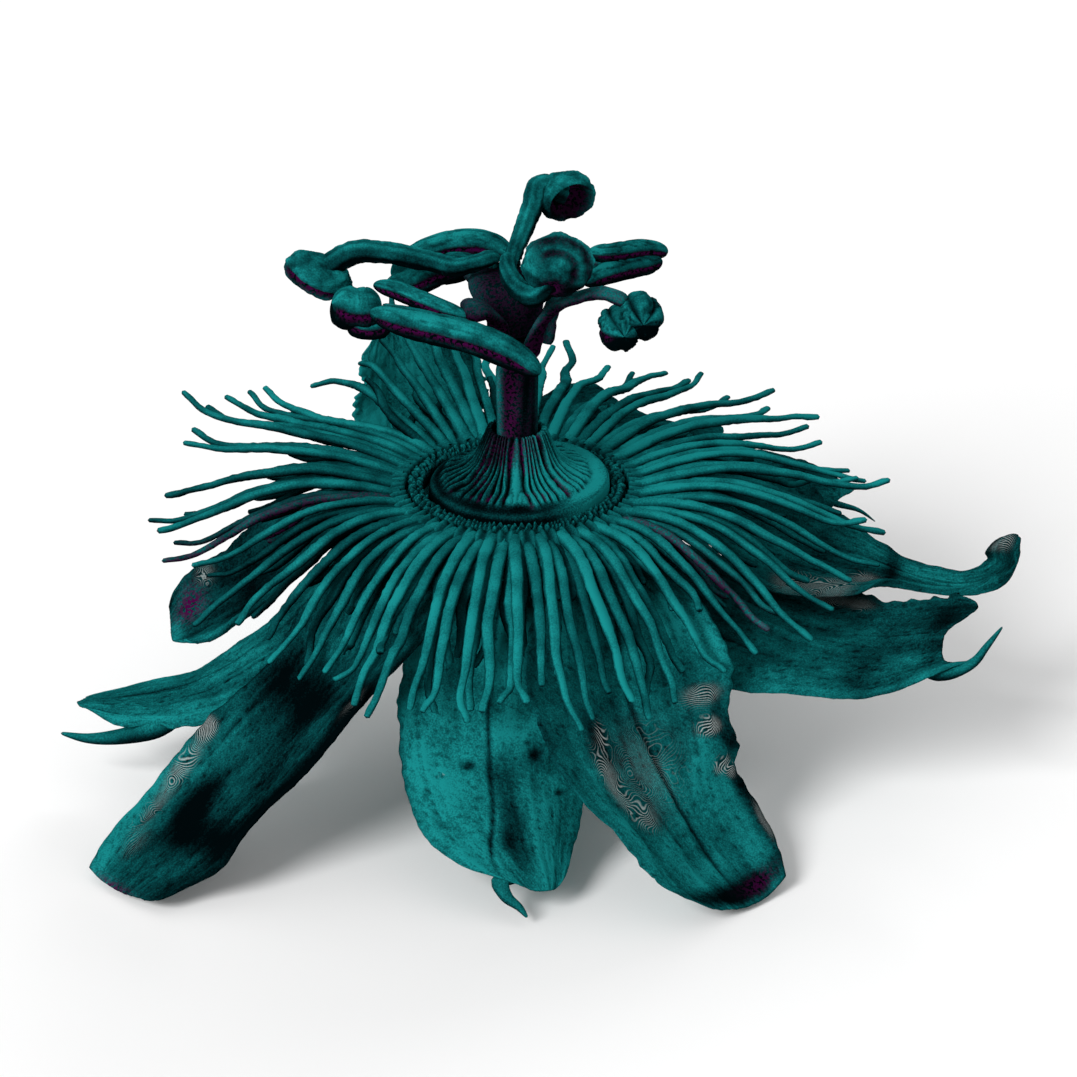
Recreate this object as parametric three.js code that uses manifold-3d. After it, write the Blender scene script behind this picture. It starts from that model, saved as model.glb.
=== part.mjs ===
// A passion flower, picked just below its cup and standing on the tips of three reflexed petals.
// Five sepals and five petals hang from the outside of a shallow floral cup. The cup's rim carries the
// corona: two ranks of long filaments round a short crinkled fringe. Inside it the pleated operculum closes
// the nectar chamber. A column rises through the operculum and carries five stamens, the ovary and three
// styles. Millimetres, +Z up. The flower is laid out round its column with z = 0 at the roots of the corona,
// and is then moved so that the origin is at the middle of its footprint, on the surface it stands on.
import * as THREE from "three";
import { mergeVertices } from "three/addons/utils/BufferGeometryUtils.js";
import Module from "manifold-3d";

const wasm = await Module();
wasm.setup();

// Driving dimensions.
const CORONA_SPREAD = 50; // across the tips of the long filaments
const CUP_RADIUS = 7.9;
const GAP = 0.3; // between pieces that touch in the flower
const BLADE_THICKNESS = 0.7; // sepals and petals
const COLUMN_RADIUS = 1.35;
const COLUMN_TOP = 11;
const OVARY_HEIGHT = 4.3;

// The cup, from the axis outwards
const STUB_END = -9.5; // the cut through the flower's stalk
const STUB_RADIUS = 1.4;
const CUP_FLOOR = -3.7;
const CUP_BORE = 6.2;
const RIM_HEIGHT = -1.05;
const RING_SEAT = RIM_HEIGHT + GAP;
const PETAL_SEAT = -1.9; // height at which the petals leave the cup
const SEPAL_SEAT = -3;

// The corona
const FRINGE_INNER = 6.35;
const FRINGE_OUTER = 7.3;
const CORONA_INNER = FRINGE_OUTER + GAP;
const CORONA_OUTER = 8.9;
const FILAMENTS_IN_A_RANK = 35;
const FILAMENT_LENGTH = CORONA_SPREAD / 2 - CORONA_INNER;

const UP = new THREE.Vector3(0, 0, 1);
const degrees = THREE.MathUtils.degToRad;
const smooth = THREE.MathUtils.smoothstep;

// Seeded draws, so that every build makes the same flower.
function draws(seed) {
  let state = seed;
  return () => {
    state = (state * 1664525 + 1013904223) % 4294967296;
    return state / 4294967296;
  };
}

// A point at a radius, an azimuth from the front (-Y) towards the right (+X), and a height.
function polar(radius, azimuth, height) {
  return new THREE.Vector3(
    radius * Math.sin(degrees(azimuth)),
    -radius * Math.cos(degrees(azimuth)),
    height,
  );
}

// Moves every vertex of a geometry by a function, and leaves only merged positions.
function reshaped(geometry, place) {
  geometry.deleteAttribute("normal");
  geometry.deleteAttribute("uv");
  const position = geometry.getAttribute("position");
  const point = new THREE.Vector3();
  for (let i = 0; i < position.count; i++) {
    point.fromBufferAttribute(position, i);
    position.setXYZ(i, ...place(point).toArray());
  }
  return mergeVertices(geometry, 1e-4);
}

// A tube along a curve, closed at both ends. radius(u) gives its half width and depth its share of that.
function tube(curve, radius, sides, steps, depth = () => 1) {
  return reshaped(new THREE.CylinderGeometry(1, 1, 1, sides, steps), (p) => {
    const u = p.y + 0.5;
    const way = curve.getTangentAt(u);
    const side = UP.clone().cross(way).normalize();
    const under = side.clone().cross(way);
    return curve
      .getPointAt(u)
      .addScaledVector(side, p.x * radius(u))
      .addScaledVector(under, p.z * radius(u) * depth(u));
  });
}

// A turned piece. Its profile is listed as [radius, height]; shape() may then move each point.
function turned(profile, segments, shape = (p) => p) {
  const points = profile.map(([radius, height]) => new THREE.Vector2(radius, height));
  return reshaped(new THREE.LatheGeometry(points, segments), (p) =>
    shape(new THREE.Vector3(p.x, -p.z, p.y)),
  );
}

function solid(geometry) {
  const merged = mergeVertices(geometry, 1e-4);
  return new wasm.Manifold(
    new wasm.Mesh({
      numProp: 3,
      vertProperties: merged.getAttribute("position").array,
      triVerts: new Uint32Array(merged.index.array),
    }),
  );
}

function joined(geometries) {
  const mesh = wasm.Manifold.union(geometries.map(solid)).getMesh();
  const geometry = new THREE.BufferGeometry();
  geometry.setAttribute("position", new THREE.BufferAttribute(mesh.vertProperties, 3));
  geometry.setIndex(new THREE.BufferAttribute(mesh.triVerts, 1));
  return geometry;
}

const materials = {
  green: new THREE.MeshStandardMaterial({ color: 0x0b6666, roughness: 0.6, metalness: 0 }),
  petal: new THREE.MeshStandardMaterial({ color: 0x0c7478, roughness: 0.55, metalness: 0 }),
  filament: new THREE.MeshStandardMaterial({ color: 0x117a7c, roughness: 0.5, metalness: 0 }),
  column: new THREE.MeshStandardMaterial({ color: 0x1c1530, roughness: 0.5, metalness: 0 }),
  anther: new THREE.MeshStandardMaterial({ color: 0x0a5f62, roughness: 0.6, metalness: 0 }),
  style: new THREE.MeshStandardMaterial({ color: 0x0a5a5c, roughness: 0.5, metalness: 0 }),
};

const flower = new THREE.Group();

function add(name, geometry, material) {
  const mesh = new THREE.Mesh(geometry, material);
  mesh.name = name;
  flower.add(mesh);
}

// Floral cup: a shallow saucer on a cut stub of the flower's stalk.
const cupProfile = [
  [0, STUB_END],
  [STUB_RADIUS, STUB_END],
  [1.5, -6.7],
  [2.8, -5.7],
  [5.4, -5],
  [7, -4.3],
  [CUP_RADIUS - 0.15, -3],
  [CUP_RADIUS, RIM_HEIGHT],
  [CUP_BORE, RIM_HEIGHT],
  [CUP_BORE, CUP_FLOOR],
  [0, CUP_FLOOR],
];
add("floral_cup", turned(cupProfile, 24), materials.green);

// Blades. A blade leaves the cup at its seat. Its middle line runs through points given as azimuth, radius
// and height. Lists of half widths, cups and rolls run from the seat to the tip. A cup is the arc of the
// cross-section, whose edges it lifts; a roll lifts the side that lies towards the larger azimuths. The tip
// is what is left of the width at the very end, the skew is how far that end's larger-azimuth corner runs on,
// and the bulge how far its middle does. An awn's root lies at a share of the length and width.
const sepals = [
  {
    name: "sepal_front", azimuth: -4, tip: 0.45, skew: 0.7, bulge: 0.9, wave: 0.25,
    path: [[-4, 12, -4.8], [-4.5, 15.4, -8], [-3.2, 18.3, -12.2], [0.3, 21.2, -15.4], [3.2, 23, -17.1]],
    halves: [3, 6.4, 7, 6.5, 5.5, 3.9], cup: [-20, -60, -60, -50, -30], roll: [0, 0, 0],
    awnRoot: [0.93, -0.3], awnGirth: 0.95,
    awn: [[-2.4, 23.2, -17.1], [-1.4, 23.8, -17.9], [0.6, 24.3, -18.4]],
  },
  {
    name: "sepal_right", azimuth: 68, tip: 0.85, skew: 0.5, bulge: -1.3, wave: 0.3,
    path: [[70, 12, -4.9], [70.6, 16, -6.9], [72.2, 21, -8.5], [74, 26, -8.8], [75, 30.7, -7.3]],
    halves: [3, 6, 6.8, 6.5, 5.7, 4.8], cup: [-20, -40, -20, 10, 30], roll: [0, 4, 8, 12],
    awnRoot: [0.96, -0.85], awnGirth: 0.75,
    awn: [[67.4, 31, -8], [68.4, 32.3, -7.2], [69.1, 33, -6.1], [70.4, 33.9, -4.7]],
  },
  {
    name: "sepal_back_right", azimuth: 140, tip: 0.3, skew: 0, bulge: 0.9, wave: 0.3,
    path: [[138, 12, -4.1], [131, 17, -4.4], [124, 22, -4.6], [119, 26.6, -6]],
    halves: [3, 5.2, 6, 5.6, 4.8, 3.6], cup: [-20, -50, -50, -40], roll: [0, 0, 0],
    awnRoot: [0.9, 0], awnGirth: 0.5,
    awn: [[119.5, 25.4, -7], [118.5, 27.8, -8.2], [118, 29.2, -9.4]],
  },
  {
    name: "sepal_back_left", azimuth: 212, tip: 0.3, skew: 0, bulge: 0.9, wave: 0.2,
    path: [[211, 11.2, -3], [209.5, 13.8, -0.8], [209, 15.6, 2.4], [209, 16.6, 6]],
    halves: [3, 4.2, 4.8, 5, 4.6, 4], cup: [-10, 10, 50, 70], roll: [0, 0, 0],
    awnRoot: [0.88, 0], awnGirth: 0.5,
    awn: [[209, 17.4, 5], [209, 18.3, 6.6], [209, 18.4, 8.2]],
  },
  {
    name: "sepal_left", azimuth: 284, tip: 0.5, skew: 0, bulge: 0.9, wave: 0.2,
    path: [[286, 12, -5.4], [287.3, 17, -9.2], [285.8, 22, -11.95], [283, 26.2, -13.2], [281, 29.5, -13.5]],
    halves: [3, 4.8, 5.2, 5.2, 4.4, 1.7], cup: [-20, -60, -60, -40], roll: [0, 0, 0],
    awnRoot: [0.8, 0.75], awnGirth: 1.05,
    awn: [[283.4, 27.8, -15.8], [282.2, 29.8, -16], [280.9, 31.8, -15.7]],
  },
];
const petals = [
  {
    name: "petal_front_right", azimuth: 32, tip: 0.7, skew: 1, bulge: 0.9, wave: 0.2,
    path: [[31, 12, -3.7], [26, 16.4, -8.4], [26, 20.3, -13.1], [30.4, 24.2, -17.6], [32.4, 26.6, -18.8]],
    halves: [2.6, 6, 7.4, 7.1, 6, 5.4], cup: [20, 50, 50, 40, 50], roll: [0, -6, -5, 0],
  },
  {
    name: "petal_right", azimuth: 104, tip: 0.5, skew: 0, bulge: 0.9, wave: 0.3,
    path: [
      [100, 12, -2.7], [96, 17, -4.8], [93, 21, -6.2], [92, 25, -7], [90.8, 28, -7.7],
      [90.2, 30.8, -7.9], [90.6, 33.3, -7], [91, 33.9, -4.9],
    ],
    halves: [2.6, 4.8, 6, 5.7, 5, 4.2, 1.7, 1.6, 2.2, 2.7], cup: [20, 40, 50, 50, 60, 60, 120, 150, 110], roll: [0, 6, 14, 14, 6, 0, 0],
  },
  {
    name: "petal_back", azimuth: 173, tip: 0.4, skew: 0, bulge: 0.9, wave: 0.2,
    path: [
      [168.5, 12, -1.9], [160, 17, -2.2], [154, 21.5, -3.8], [156, 24.6, -9],
      [160, 26.2, -15], [163, 26.8, -18.6],
    ],
    halves: [2.6, 4.2, 4.8, 5, 4.8, 3.8], cup: [20, 40, 20, 0], roll: [0, 0, 0],
  },
  {
    name: "petal_left", azimuth: 248, tip: 0.5, skew: 0, bulge: 0.5, wave: 0.15,
    path: [[252, 12, -4.2], [256.5, 16, -7.6], [260, 20.5, -11.2], [262, 24, -13]],
    halves: [2.6, 4.4, 5.4, 5.5, 5, 4.6], cup: [20, 50, 70, 80], roll: [0, -5, -12],
  },
  {
    name: "petal_front_left", azimuth: 320, tip: 0.75, skew: -0.6, bulge: 0.5, wave: 0.25,
    path: [[319, 12, -3.9], [316, 17, -8.4], [312.4, 22, -12.8], [310.2, 27.4, -16.7], [310, 32.8, -18.9]],
    halves: [2.6, 5.2, 5.6, 5.6, 5.2, 4.6], cup: [20, 60, 50, 20], roll: [0, 0, 0],
  },
];
const BLADE_ROWS = 12;
const BLADE_COLUMNS = 6;
const PATH_STEPS = 60;
const TIP_START = 0.76; // where along a blade its tip begins to round
const RIPPLES = 17; // phase of a blade's waves, in radians from seat to tip
const RIPPLE_SKEW = 2.2; // phase by which one edge runs ahead of the middle

// The value at u, from 0 to 1, of a smooth line through evenly spaced values.
function along(values, u) {
  const line = new THREE.SplineCurve(values.map((value, i) => new THREE.Vector2(i, value)));
  return line.getPoint(u).y;
}

// Half width of a blade at u.
function halfWidth(blade, u) {
  const tip = Math.max(u - TIP_START, 0) / (1 - TIP_START);
  return along(blade.halves, u) * Math.sqrt(1 - (1 - blade.tip * blade.tip) * Math.pow(tip, 3));
}

// Middle line of a blade, as evenly spaced points with their frames.
function middleLine(blade, seat) {
  const root = polar(CUP_RADIUS + GAP, blade.azimuth, seat);
  const curve = new THREE.CatmullRomCurve3([
    root,
    ...blade.path.map(([azimuth, radius, height]) => polar(radius, azimuth, height)),
  ]);
  const line = [];
  for (let i = 0; i <= PATH_STEPS; i++) {
    const u = i / PATH_STEPS;
    const way = curve.getTangentAt(u);
    const side = UP.clone().cross(way).normalize();
    side.applyAxisAngle(way, degrees(along(blade.roll, u)));
    line.push({ point: curve.getPointAt(u), side, normal: way.clone().cross(side) });
  }
  return line;
}

// A point of a blade: u along it, v across it from -1 to 1, and its depth above the middle surface.
function bladePoint(blade, line, u, v, depth) {
  const { point, side, normal } = line[Math.round(u * PATH_STEPS)];
  const half = halfWidth(blade, u);
  const bend = degrees(along(blade.cup, u)) / 2;
  const bent = Math.abs(bend) > 0.01;
  const across = bent ? (half * Math.sin(bend * v)) / bend : half * v;
  const lift = bent ? (half * (1 - Math.cos(bend * v))) / bend : 0;
  const ripple = blade.wave * v * v * Math.sin(RIPPLES * u + RIPPLE_SKEW * v);
  const reach = blade.skew * v * smooth(u, 0.7, 1) + blade.bulge * (1 - v * v) * smooth(u, 0.85, 1);
  return point
    .clone()
    .addScaledVector(side.clone().cross(normal), reach)
    .addScaledVector(side, across - depth * Math.sin(bend * v))
    .addScaledVector(normal, lift + ripple + depth * Math.cos(bend * v));
}

function bladeGeometry(blade, line) {
  const box = new THREE.BoxGeometry(1, 1, 1, BLADE_COLUMNS, BLADE_ROWS, 1);
  return reshaped(box, (p) =>
    bladePoint(blade, line, p.y + 0.5, -2 * p.x, p.z * BLADE_THICKNESS),
  );
}

// The awn of a sepal: a small horn on its back, just below the tip.
const AWN_TAPER = 0.75;
function awnGeometry(blade, line) {
  const points = blade.awn.map(([azimuth, radius, height]) => polar(radius, azimuth, height));
  const [rootLength, rootWidth] = blade.awnRoot;
  const root = bladePoint(blade, line, rootLength, rootWidth, -0.1);
  const curve = new THREE.CatmullRomCurve3([root, ...points]);
  return tube(curve, (u) => blade.awnGirth * (1 - AWN_TAPER * u), 6, 5);
}

// Height of the blades' upper sides over the plan, kept in square cells, for the filaments to lie on.
const CELL = 0.5;
const FILAMENT_LIFT = 0.8; // from a blade's upper side to a filament's middle
const COVER_STEP = 0.08; // of a blade's half width
const cover = new Map();
const cellOf = (x, y) => `${Math.round(x / CELL)},${Math.round(y / CELL)}`;
function coverWith(blade, line) {
  for (let i = 0; i <= PATH_STEPS; i++)
    for (let v = -1; v <= 1; v += COVER_STEP) {
      const p = bladePoint(blade, line, i / PATH_STEPS, v, BLADE_THICKNESS / 2 + FILAMENT_LIFT);
      for (const [x, y] of [[0, 0], [CELL, 0], [-CELL, 0], [0, CELL], [0, -CELL]]) {
        const cell = cellOf(p.x + x, p.y + y);
        cover.set(cell, Math.max(cover.get(cell) ?? -Infinity, p.z));
      }
    }
}

for (const blade of sepals) {
  const line = middleLine(blade, SEPAL_SEAT);
  coverWith(blade, line);
  add(blade.name, joined([bladeGeometry(blade, line), awnGeometry(blade, line)]), materials.petal);
}
for (const blade of petals) {
  const line = middleLine(blade, PETAL_SEAT);
  coverWith(blade, line);
  add(blade.name, bladeGeometry(blade, line), materials.petal);
}

// Corona: two ranks of long filaments, the second lower and between the first, on a narrow ring.
const RING_SIDES = 48;
const coronaRing = turned(
  [
    [CORONA_INNER, RING_SEAT],
    [CORONA_OUTER, RING_SEAT],
    [CORONA_OUTER + 0.15, -0.35],
    [CORONA_OUTER - 0.5, 0.1],
    [CORONA_INNER, 0.2],
    [CORONA_INNER, RING_SEAT],
  ],
  RING_SIDES,
);
const RANK_HEIGHTS = [-0.1, -0.4]; // of the filaments' roots
const ROOT_DEPTH = 0.55; // how far the roots are sunk into the ring
const FILAMENT_WIDTH = 0.44; // half width at the root
const FILAMENT_TAPER = 0.5;
const FILAMENT_DEPTH = 0.72; // share of the width
const FILAMENT_SIDES = 4;
const FILAMENT_STEPS = 7;
const STRIDE = 0.8;
const SPREAD_OF_PITCH = 12; // degrees between the straightest and the most drooping
const DROOP_OF_LOWER_RANK = 5;
const SPREAD_OF_HEADING = 7;
const CLIMB_COST = 1.8; // length that a filament loses for each millimetre that a blade lifts it
const SHORT_FRONT = 0.14; // share by which the front filaments are shorter
const SWEEP = { azimuth: 218, spread: 20, turn: 24 }; // filaments swept aside, beside the standing sepal
const RAISED = { azimuth: 242, spread: 16, turn: 20 }; // filaments raised towards their tips
const EASING = 12; // rounds by which a lifted filament straightens between the points that hold it up
// Pitch of the filaments, from root to tip, at the front, at the sides and at the back of the flower.
const FRONT_PITCH = [4, -22, -42, -46, -40];
const SIDE_PITCH = [16, 6, -13, -18, 2];
const BACK_PITCH = [14, 2, -9, -8, 6];

// Middle line of a filament. It travels outwards by strides and is lifted wherever a blade lies under it.
function filamentCurve(azimuth, rank, draw) {
  const towardsFront = Math.cos(degrees(azimuth));
  const back = smooth(-towardsFront, 0, 0.8);
  const front = smooth(towardsFront, 0.05, 0.8);
  const tilt = SPREAD_OF_PITCH * (draw() - 0.5) - DROOP_OF_LOWER_RANK * rank;
  const swing = SPREAD_OF_HEADING * (draw() - 0.5);
  const wiggle = SPREAD_OF_HEADING * (draw() - 0.5);
  const length = FILAMENT_LENGTH * (0.86 + 0.14 * draw()) * (1 - SHORT_FRONT * front);
  const near = ({ azimuth: middle, spread, turn }) =>
    turn * Math.exp(-(((azimuth - middle) / spread) ** 2));
  const at = polar(CORONA_OUTER - ROOT_DEPTH, azimuth, RANK_HEIGHTS[rank]);
  const points = [at.clone()];
  let travelled = 0;
  let lifted = 0;
  while (travelled < length) {
    const u = travelled / length;
    const level = along(SIDE_PITCH, u) * (1 - front) * (1 - back);
    const slope = level + along(FRONT_PITCH, u) * front + along(BACK_PITCH, u) * back;
    const pitch = degrees(slope + (tilt + near(RAISED)) * u);
    const heading = azimuth + (swing + near(SWEEP)) * u + wiggle * Math.sin(2 * Math.PI * u);
    at.add(polar(STRIDE * Math.cos(pitch), heading, STRIDE * Math.sin(pitch)));
    const climb = Math.max((cover.get(cellOf(at.x, at.y)) ?? -Infinity) - at.z, 0);
    at.z += climb;
    lifted += climb;
    travelled += STRIDE + CLIMB_COST * climb;
    points.push(at.clone());
  }
  for (let round = 0; round < (lifted > 1 ? EASING : 0); round++)
    for (let i = 1; i < points.length - 1; i++)
      points[i].z = Math.max(points[i].z, (points[i - 1].z + points[i + 1].z) / 2);
  return new THREE.CatmullRomCurve3(points);
}

const filaments = [];
const draw = draws(7);
const filamentRadius = (u) => FILAMENT_WIDTH * (1 - FILAMENT_TAPER * u);
for (const rank of [0, 1])
  for (let i = 0; i < FILAMENTS_IN_A_RANK; i++) {
    const azimuth = ((i + rank / 2) * 360) / FILAMENTS_IN_A_RANK + 2 * (draw() - 0.5);
    const curve = filamentCurve(azimuth, rank, draw);
    filaments.push(tube(curve, filamentRadius, FILAMENT_SIDES, FILAMENT_STEPS, () => FILAMENT_DEPTH));
  }
add("corona", joined([coronaRing, ...filaments]), materials.filament);

// Inner corona: a short crinkled fringe, raised on a ring by a formula.
const FRINGE_CRINKLES = 32;
const CRINKLE_HEIGHT = 0.22;
const fringe = turned(
  [
    [FRINGE_INNER, RING_SEAT],
    [FRINGE_OUTER, RING_SEAT],
    [FRINGE_OUTER, 0.15],
    [(FRINGE_INNER + FRINGE_OUTER) / 2, 0.55],
    [FRINGE_INNER, 0.15],
    [FRINGE_INNER, RING_SEAT],
  ],
  2 * FRINGE_CRINKLES,
  (p) => {
    const turn = Math.atan2(p.y, p.x);
    const crest = smooth(p.z, -0.2, 0.5);
    return p.setZ(p.z + CRINKLE_HEIGHT * crest * Math.cos(FRINGE_CRINKLES * turn));
  },
);
add("corona_fringe", fringe, materials.filament);

// Operculum: a pleated bell over the nectar chamber, with the column's hole in its top.
const PLEATS = 28;
const PLEAT_DEPTH = 0.2; // sideways
const PLEAT_RISE = 0.12;
const hole = COLUMN_RADIUS + GAP;
const operculum = turned(
  [
    [5.3, CUP_FLOOR + GAP],
    [5.9, CUP_FLOOR + GAP],
    [5.95, -0.2],
    [5.5, 0.65],
    [4.6, 1.05],
    [3.4, 1.55],
    [2.6, 2.5],
    [hole + 0.55, 4.1],
    [hole + 0.05, 4.1],
    [2, 2.2],
    [3.1, 0.95],
    [4.9, 0.1],
    [5.3, -0.7],
    [5.3, CUP_FLOOR + GAP],
  ],
  2 * PLEATS,
  (p) => {
    const radius = Math.hypot(p.x, p.y);
    const turn = Math.atan2(p.y, p.x);
    const pleated = smooth(5.2 - radius, 0, 1.2) * smooth(p.z, 0.9, 1.2);
    const crest = pleated * Math.cos(PLEATS * turn);
    const share = 1 + (PLEAT_DEPTH * crest) / radius;
    return new THREE.Vector3(p.x * share, p.y * share, p.z + PLEAT_RISE * crest);
  },
);
add("operculum", operculum, materials.column);

// Column: it stands on the cup's floor and narrows under the stamens.
const column = turned(
  [
    [0, CUP_FLOOR + GAP],
    [1.6, CUP_FLOOR + GAP],
    [1.5, -1.5],
    [COLUMN_RADIUS, 0.5],
    [COLUMN_RADIUS - 0.05, 6],
    [COLUMN_RADIUS, 8.6],
    [1.15, 9.8],
    [1.1, COLUMN_TOP],
    [0, COLUMN_TOP],
  ],
  16,
);
add("column", column, materials.column);

// Ovary: an egg, widest near its top, which leans to the left.
const OVARY_LEAN = -1;
const ovaryProfile = [
  [0, 0],
  [1.15, 0],
  [1.6, 0.15],
  [2.1, 0.4],
  [2.45, 0.66],
  [2.4, 0.82],
  [1.9, 0.95],
  [1.1, 1],
  [0, 1],
];
const ovary = turned(
  ovaryProfile.map(([radius, share]) => [radius, share * OVARY_HEIGHT]),
  16,
  (p) => p.setX(p.x + (OVARY_LEAN * p.z) / OVARY_HEIGHT).setZ(p.z + COLUMN_TOP + GAP),
);
add("ovary", ovary, materials.column);

// Styles: each leaves the ovary's top and ends in a broad stigma with a furrow round its face.
// Paths here and below are points [x, y, z] from the flower's axis at the height of the corona's roots.
const styles = [
  {
    name: "style_left",
    path: [
      [-1.5, 0.2, 16.4], [-2.6, -0.5, 16.4], [-3.8, -0.2, 15.9], [-5.3, 1.2, 15.7], [-8, 2.2, 15.9],
      [-10.3, 3, 15.8], [-11.6, 3.4, 15.2],
    ],
    stigma: { at: [-13.2, 3.7, 13.8], size: [2.4, 1.4, 1.5], face: [-0.2, -0.8, -0.35] },
  },
  {
    name: "style_back",
    path: [
      [-0.2, 0.6, 16.4], [0.2, 1.6, 17.2], [0.9, 3.2, 18.5], [1.6, 4.2, 19.9],
    ],
    stigma: { at: [3.3, 4.7, 19.1], size: [2.1, 1.5, 1.75], face: [0.45, -0.75, -0.25] },
  },
  {
    name: "style_front_right",
    path: [
      [-0.5, -1.2, 16.8], [-0.5, -2.5, 16.6], [0.2, -3.7, 15.8], [1.2, -4.4, 15.7],
    ],
    stigma: { at: [2.7, -4.2, 17.7], size: [2.3, 1.6, 2.1], face: [-0.1, -0.9, 0.1] },
  },
];
const STYLE_RADIUS = 0.5;
const STYLE_FLARE = 0.7; // by which a style widens towards its stigma
const FURROW_DEPTH = 0.3;
const FURROW_PLACE = 0.62; // between the middle of the face and its rim
const FURROW_WIDTH = 0.16;

// A stigma: a ball flattened towards its face, with a furrow that follows its rim.
function stigmaGeometry({ at, size, face }) {
  const facing = new THREE.Vector3(...face).normalize();
  const across = UP.clone().cross(facing).normalize();
  const upwards = across.clone().cross(facing);
  const turn = new THREE.Matrix4().makeBasis(across, facing, upwards);
  return reshaped(new THREE.SphereGeometry(1, 12, 8), (p) => {
    const rim = Math.hypot(p.x, p.z);
    const furrow = FURROW_DEPTH * Math.exp(-Math.pow((rim - FURROW_PLACE) / FURROW_WIDTH, 2));
    const depth = p.y > 0 ? p.y - furrow : p.y;
    const placed = new THREE.Vector3(p.x * size[0], depth * size[1], p.z * size[2]);
    return placed.applyMatrix4(turn).add(new THREE.Vector3(...at));
  });
}

const curveOf = (points) => new THREE.CatmullRomCurve3(points.map((p) => new THREE.Vector3(...p)));
for (const { name, path, stigma } of styles) {
  const stalk = tube(curveOf([...path, stigma.at]), (u) => STYLE_RADIUS * (1 + STYLE_FLARE * u), 8, 7);
  add(name, joined([stalk, stigmaGeometry(stigma)]), materials.style);
}

// Stamens: a flat filament from the column's neck to the back of an anther, which is two long pouches
// side by side. A pouch's path runs from end to end, and its girth is its widest radius.
const stamens = [
  {
    name: "stamen_front_left",
    filament: [
      [-0.9, -1.7, 10], [-1.1, -2.6, 12.1], [-1.4, -3.4, 13.6], [-2.3, -4, 14.5], [-3.5, -4.4, 14.6],
    ],
    pouches: [
      {
        girth: 0.64,
        path: [
          [-9.3, -2.6, 15.7], [-7.9, -3, 15.5], [-6.1, -3.6, 15], [-4.4, -4.2, 14.5],
          [-3.1, -4.6, 14.2],
        ],
      },
      {
        girth: 1.08,
        path: [
          [-9.5, -3.2, 14], [-7, -4.2, 13.7], [-4.4, -5, 13.4], [-2.3, -5.6, 13], [-0.3, -6, 12.2],
          [1.6, -6.3, 11],
        ],
      },
    ],
  },
  {
    name: "stamen_right",
    filament: [
      [0.9, -1.7, 10], [1.4, -2.2, 12.3], [2.6, -2.8, 14.2], [4.3, -3.6, 15.3], [5.9, -4.4, 15.8],
      [7.3, -4.9, 15.3],
    ],
    pouches: [
      {
        girth: 1.25,
        path: [
          [6.9, -6.8, 13.7], [6.6, -5.4, 13.8], [6.4, -3.9, 14],
        ],
      },
      {
        girth: 1.4,
        path: [
          [8.3, -6.4, 14.5], [8.1, -4.9, 14.5], [7.8, -3.4, 14.4],
        ],
      },
    ],
  },
  {
    name: "stamen_back_right",
    filament: [
      [1.8, 0.7, 10], [2.3, 1.2, 12.3], [3.3, 1.8, 14.1], [4.7, 2.2, 15.3], [5.8, 2.4, 15.3],
    ],
    pouches: [
      {
        girth: 0.82,
        path: [
          [4.4, 0.7, 14.5], [5.8, 1.8, 14.7], [7.9, 3.9, 14.4], [9.7, 5.5, 14.1],
        ],
      },
      {
        girth: 0.72,
        path: [
          [4.7, 1.6, 16.2], [6.1, 2.6, 15.8], [8.3, 4.6, 15.3], [10.1, 6.2, 14.5],
        ],
      },
    ],
  },
  {
    name: "stamen_back_left",
    filament: [
      [-0.7, 1.8, 10], [-1.5, 2.9, 12.3], [-2.8, 3.9, 13.6], [-3.6, 4.8, 14.2],
    ],
    pouches: [
      {
        girth: 1.08,
        path: [
          [-8.9, 5, 12.3], [-7.3, 5.1, 12.7], [-5.6, 5.2, 13.4], [-3.9, 5, 13.9], [-2.4, 4.6, 14],
        ],
      },
      {
        girth: 1,
        path: [
          [-8.4, 5.6, 12.9], [-6.9, 6, 14.1], [-5.4, 6.2, 14.7], [-3.7, 6.2, 15.1], [-1.8, 5.8, 15.1],
          [-0.3, 5, 14.7],
        ],
      },
    ],
  },
  {
    name: "stamen_left",
    filament: [
      [-1.9, 0, 10], [-3.2, 0.2, 11], [-6, 0.3, 12.2], [-9.1, 0.5, 12.7],
    ],
    pouches: [
      {
        girth: 0.85,
        path: [
          [-11.2, 0, 11.9], [-9.8, 0.2, 11.5], [-8.3, 0.4, 11.7],
        ],
      },
      {
        girth: 1.45,
        path: [
          [-12.2, 0.2, 13.2], [-10.7, 0.5, 12.7], [-8.9, 0.7, 12.8],
        ],
      },
    ],
  },
];
const STALK_RADIUS = 0.72;
const STALK_FLATNESS = 0.55;
const POUCH_STEPS = 7;
const POUCH_END = 0.12; // how blunt the ends are

function pouch({ girth, path }) {
  const belly = (u) => girth * Math.sqrt(Math.max(1 - Math.pow(2 * u - 1, 4), POUCH_END));
  return tube(curveOf(path), belly, 6, POUCH_STEPS);
}

for (const stamen of stamens) {
  const stalk = tube(curveOf(stamen.filament), () => STALK_RADIUS, 6, 6, () => STALK_FLATNESS);
  add(stamen.name, joined([stalk, ...stamen.pouches.map(pouch)]), materials.anther);
}

// The origin: the middle of the footprint, on the surface.
const bounds = new THREE.Box3().setFromObject(flower);
const centre = bounds.getCenter(new THREE.Vector3());
flower.position.set(-centre.x, -centre.y, -bounds.min.z);

export default flower;
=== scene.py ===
import math

import bmesh
import bpy
import numpy as np
from mathutils import Matrix, Quaternion, Vector, noise
from mathutils.geometry import interpolate_bezier


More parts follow.
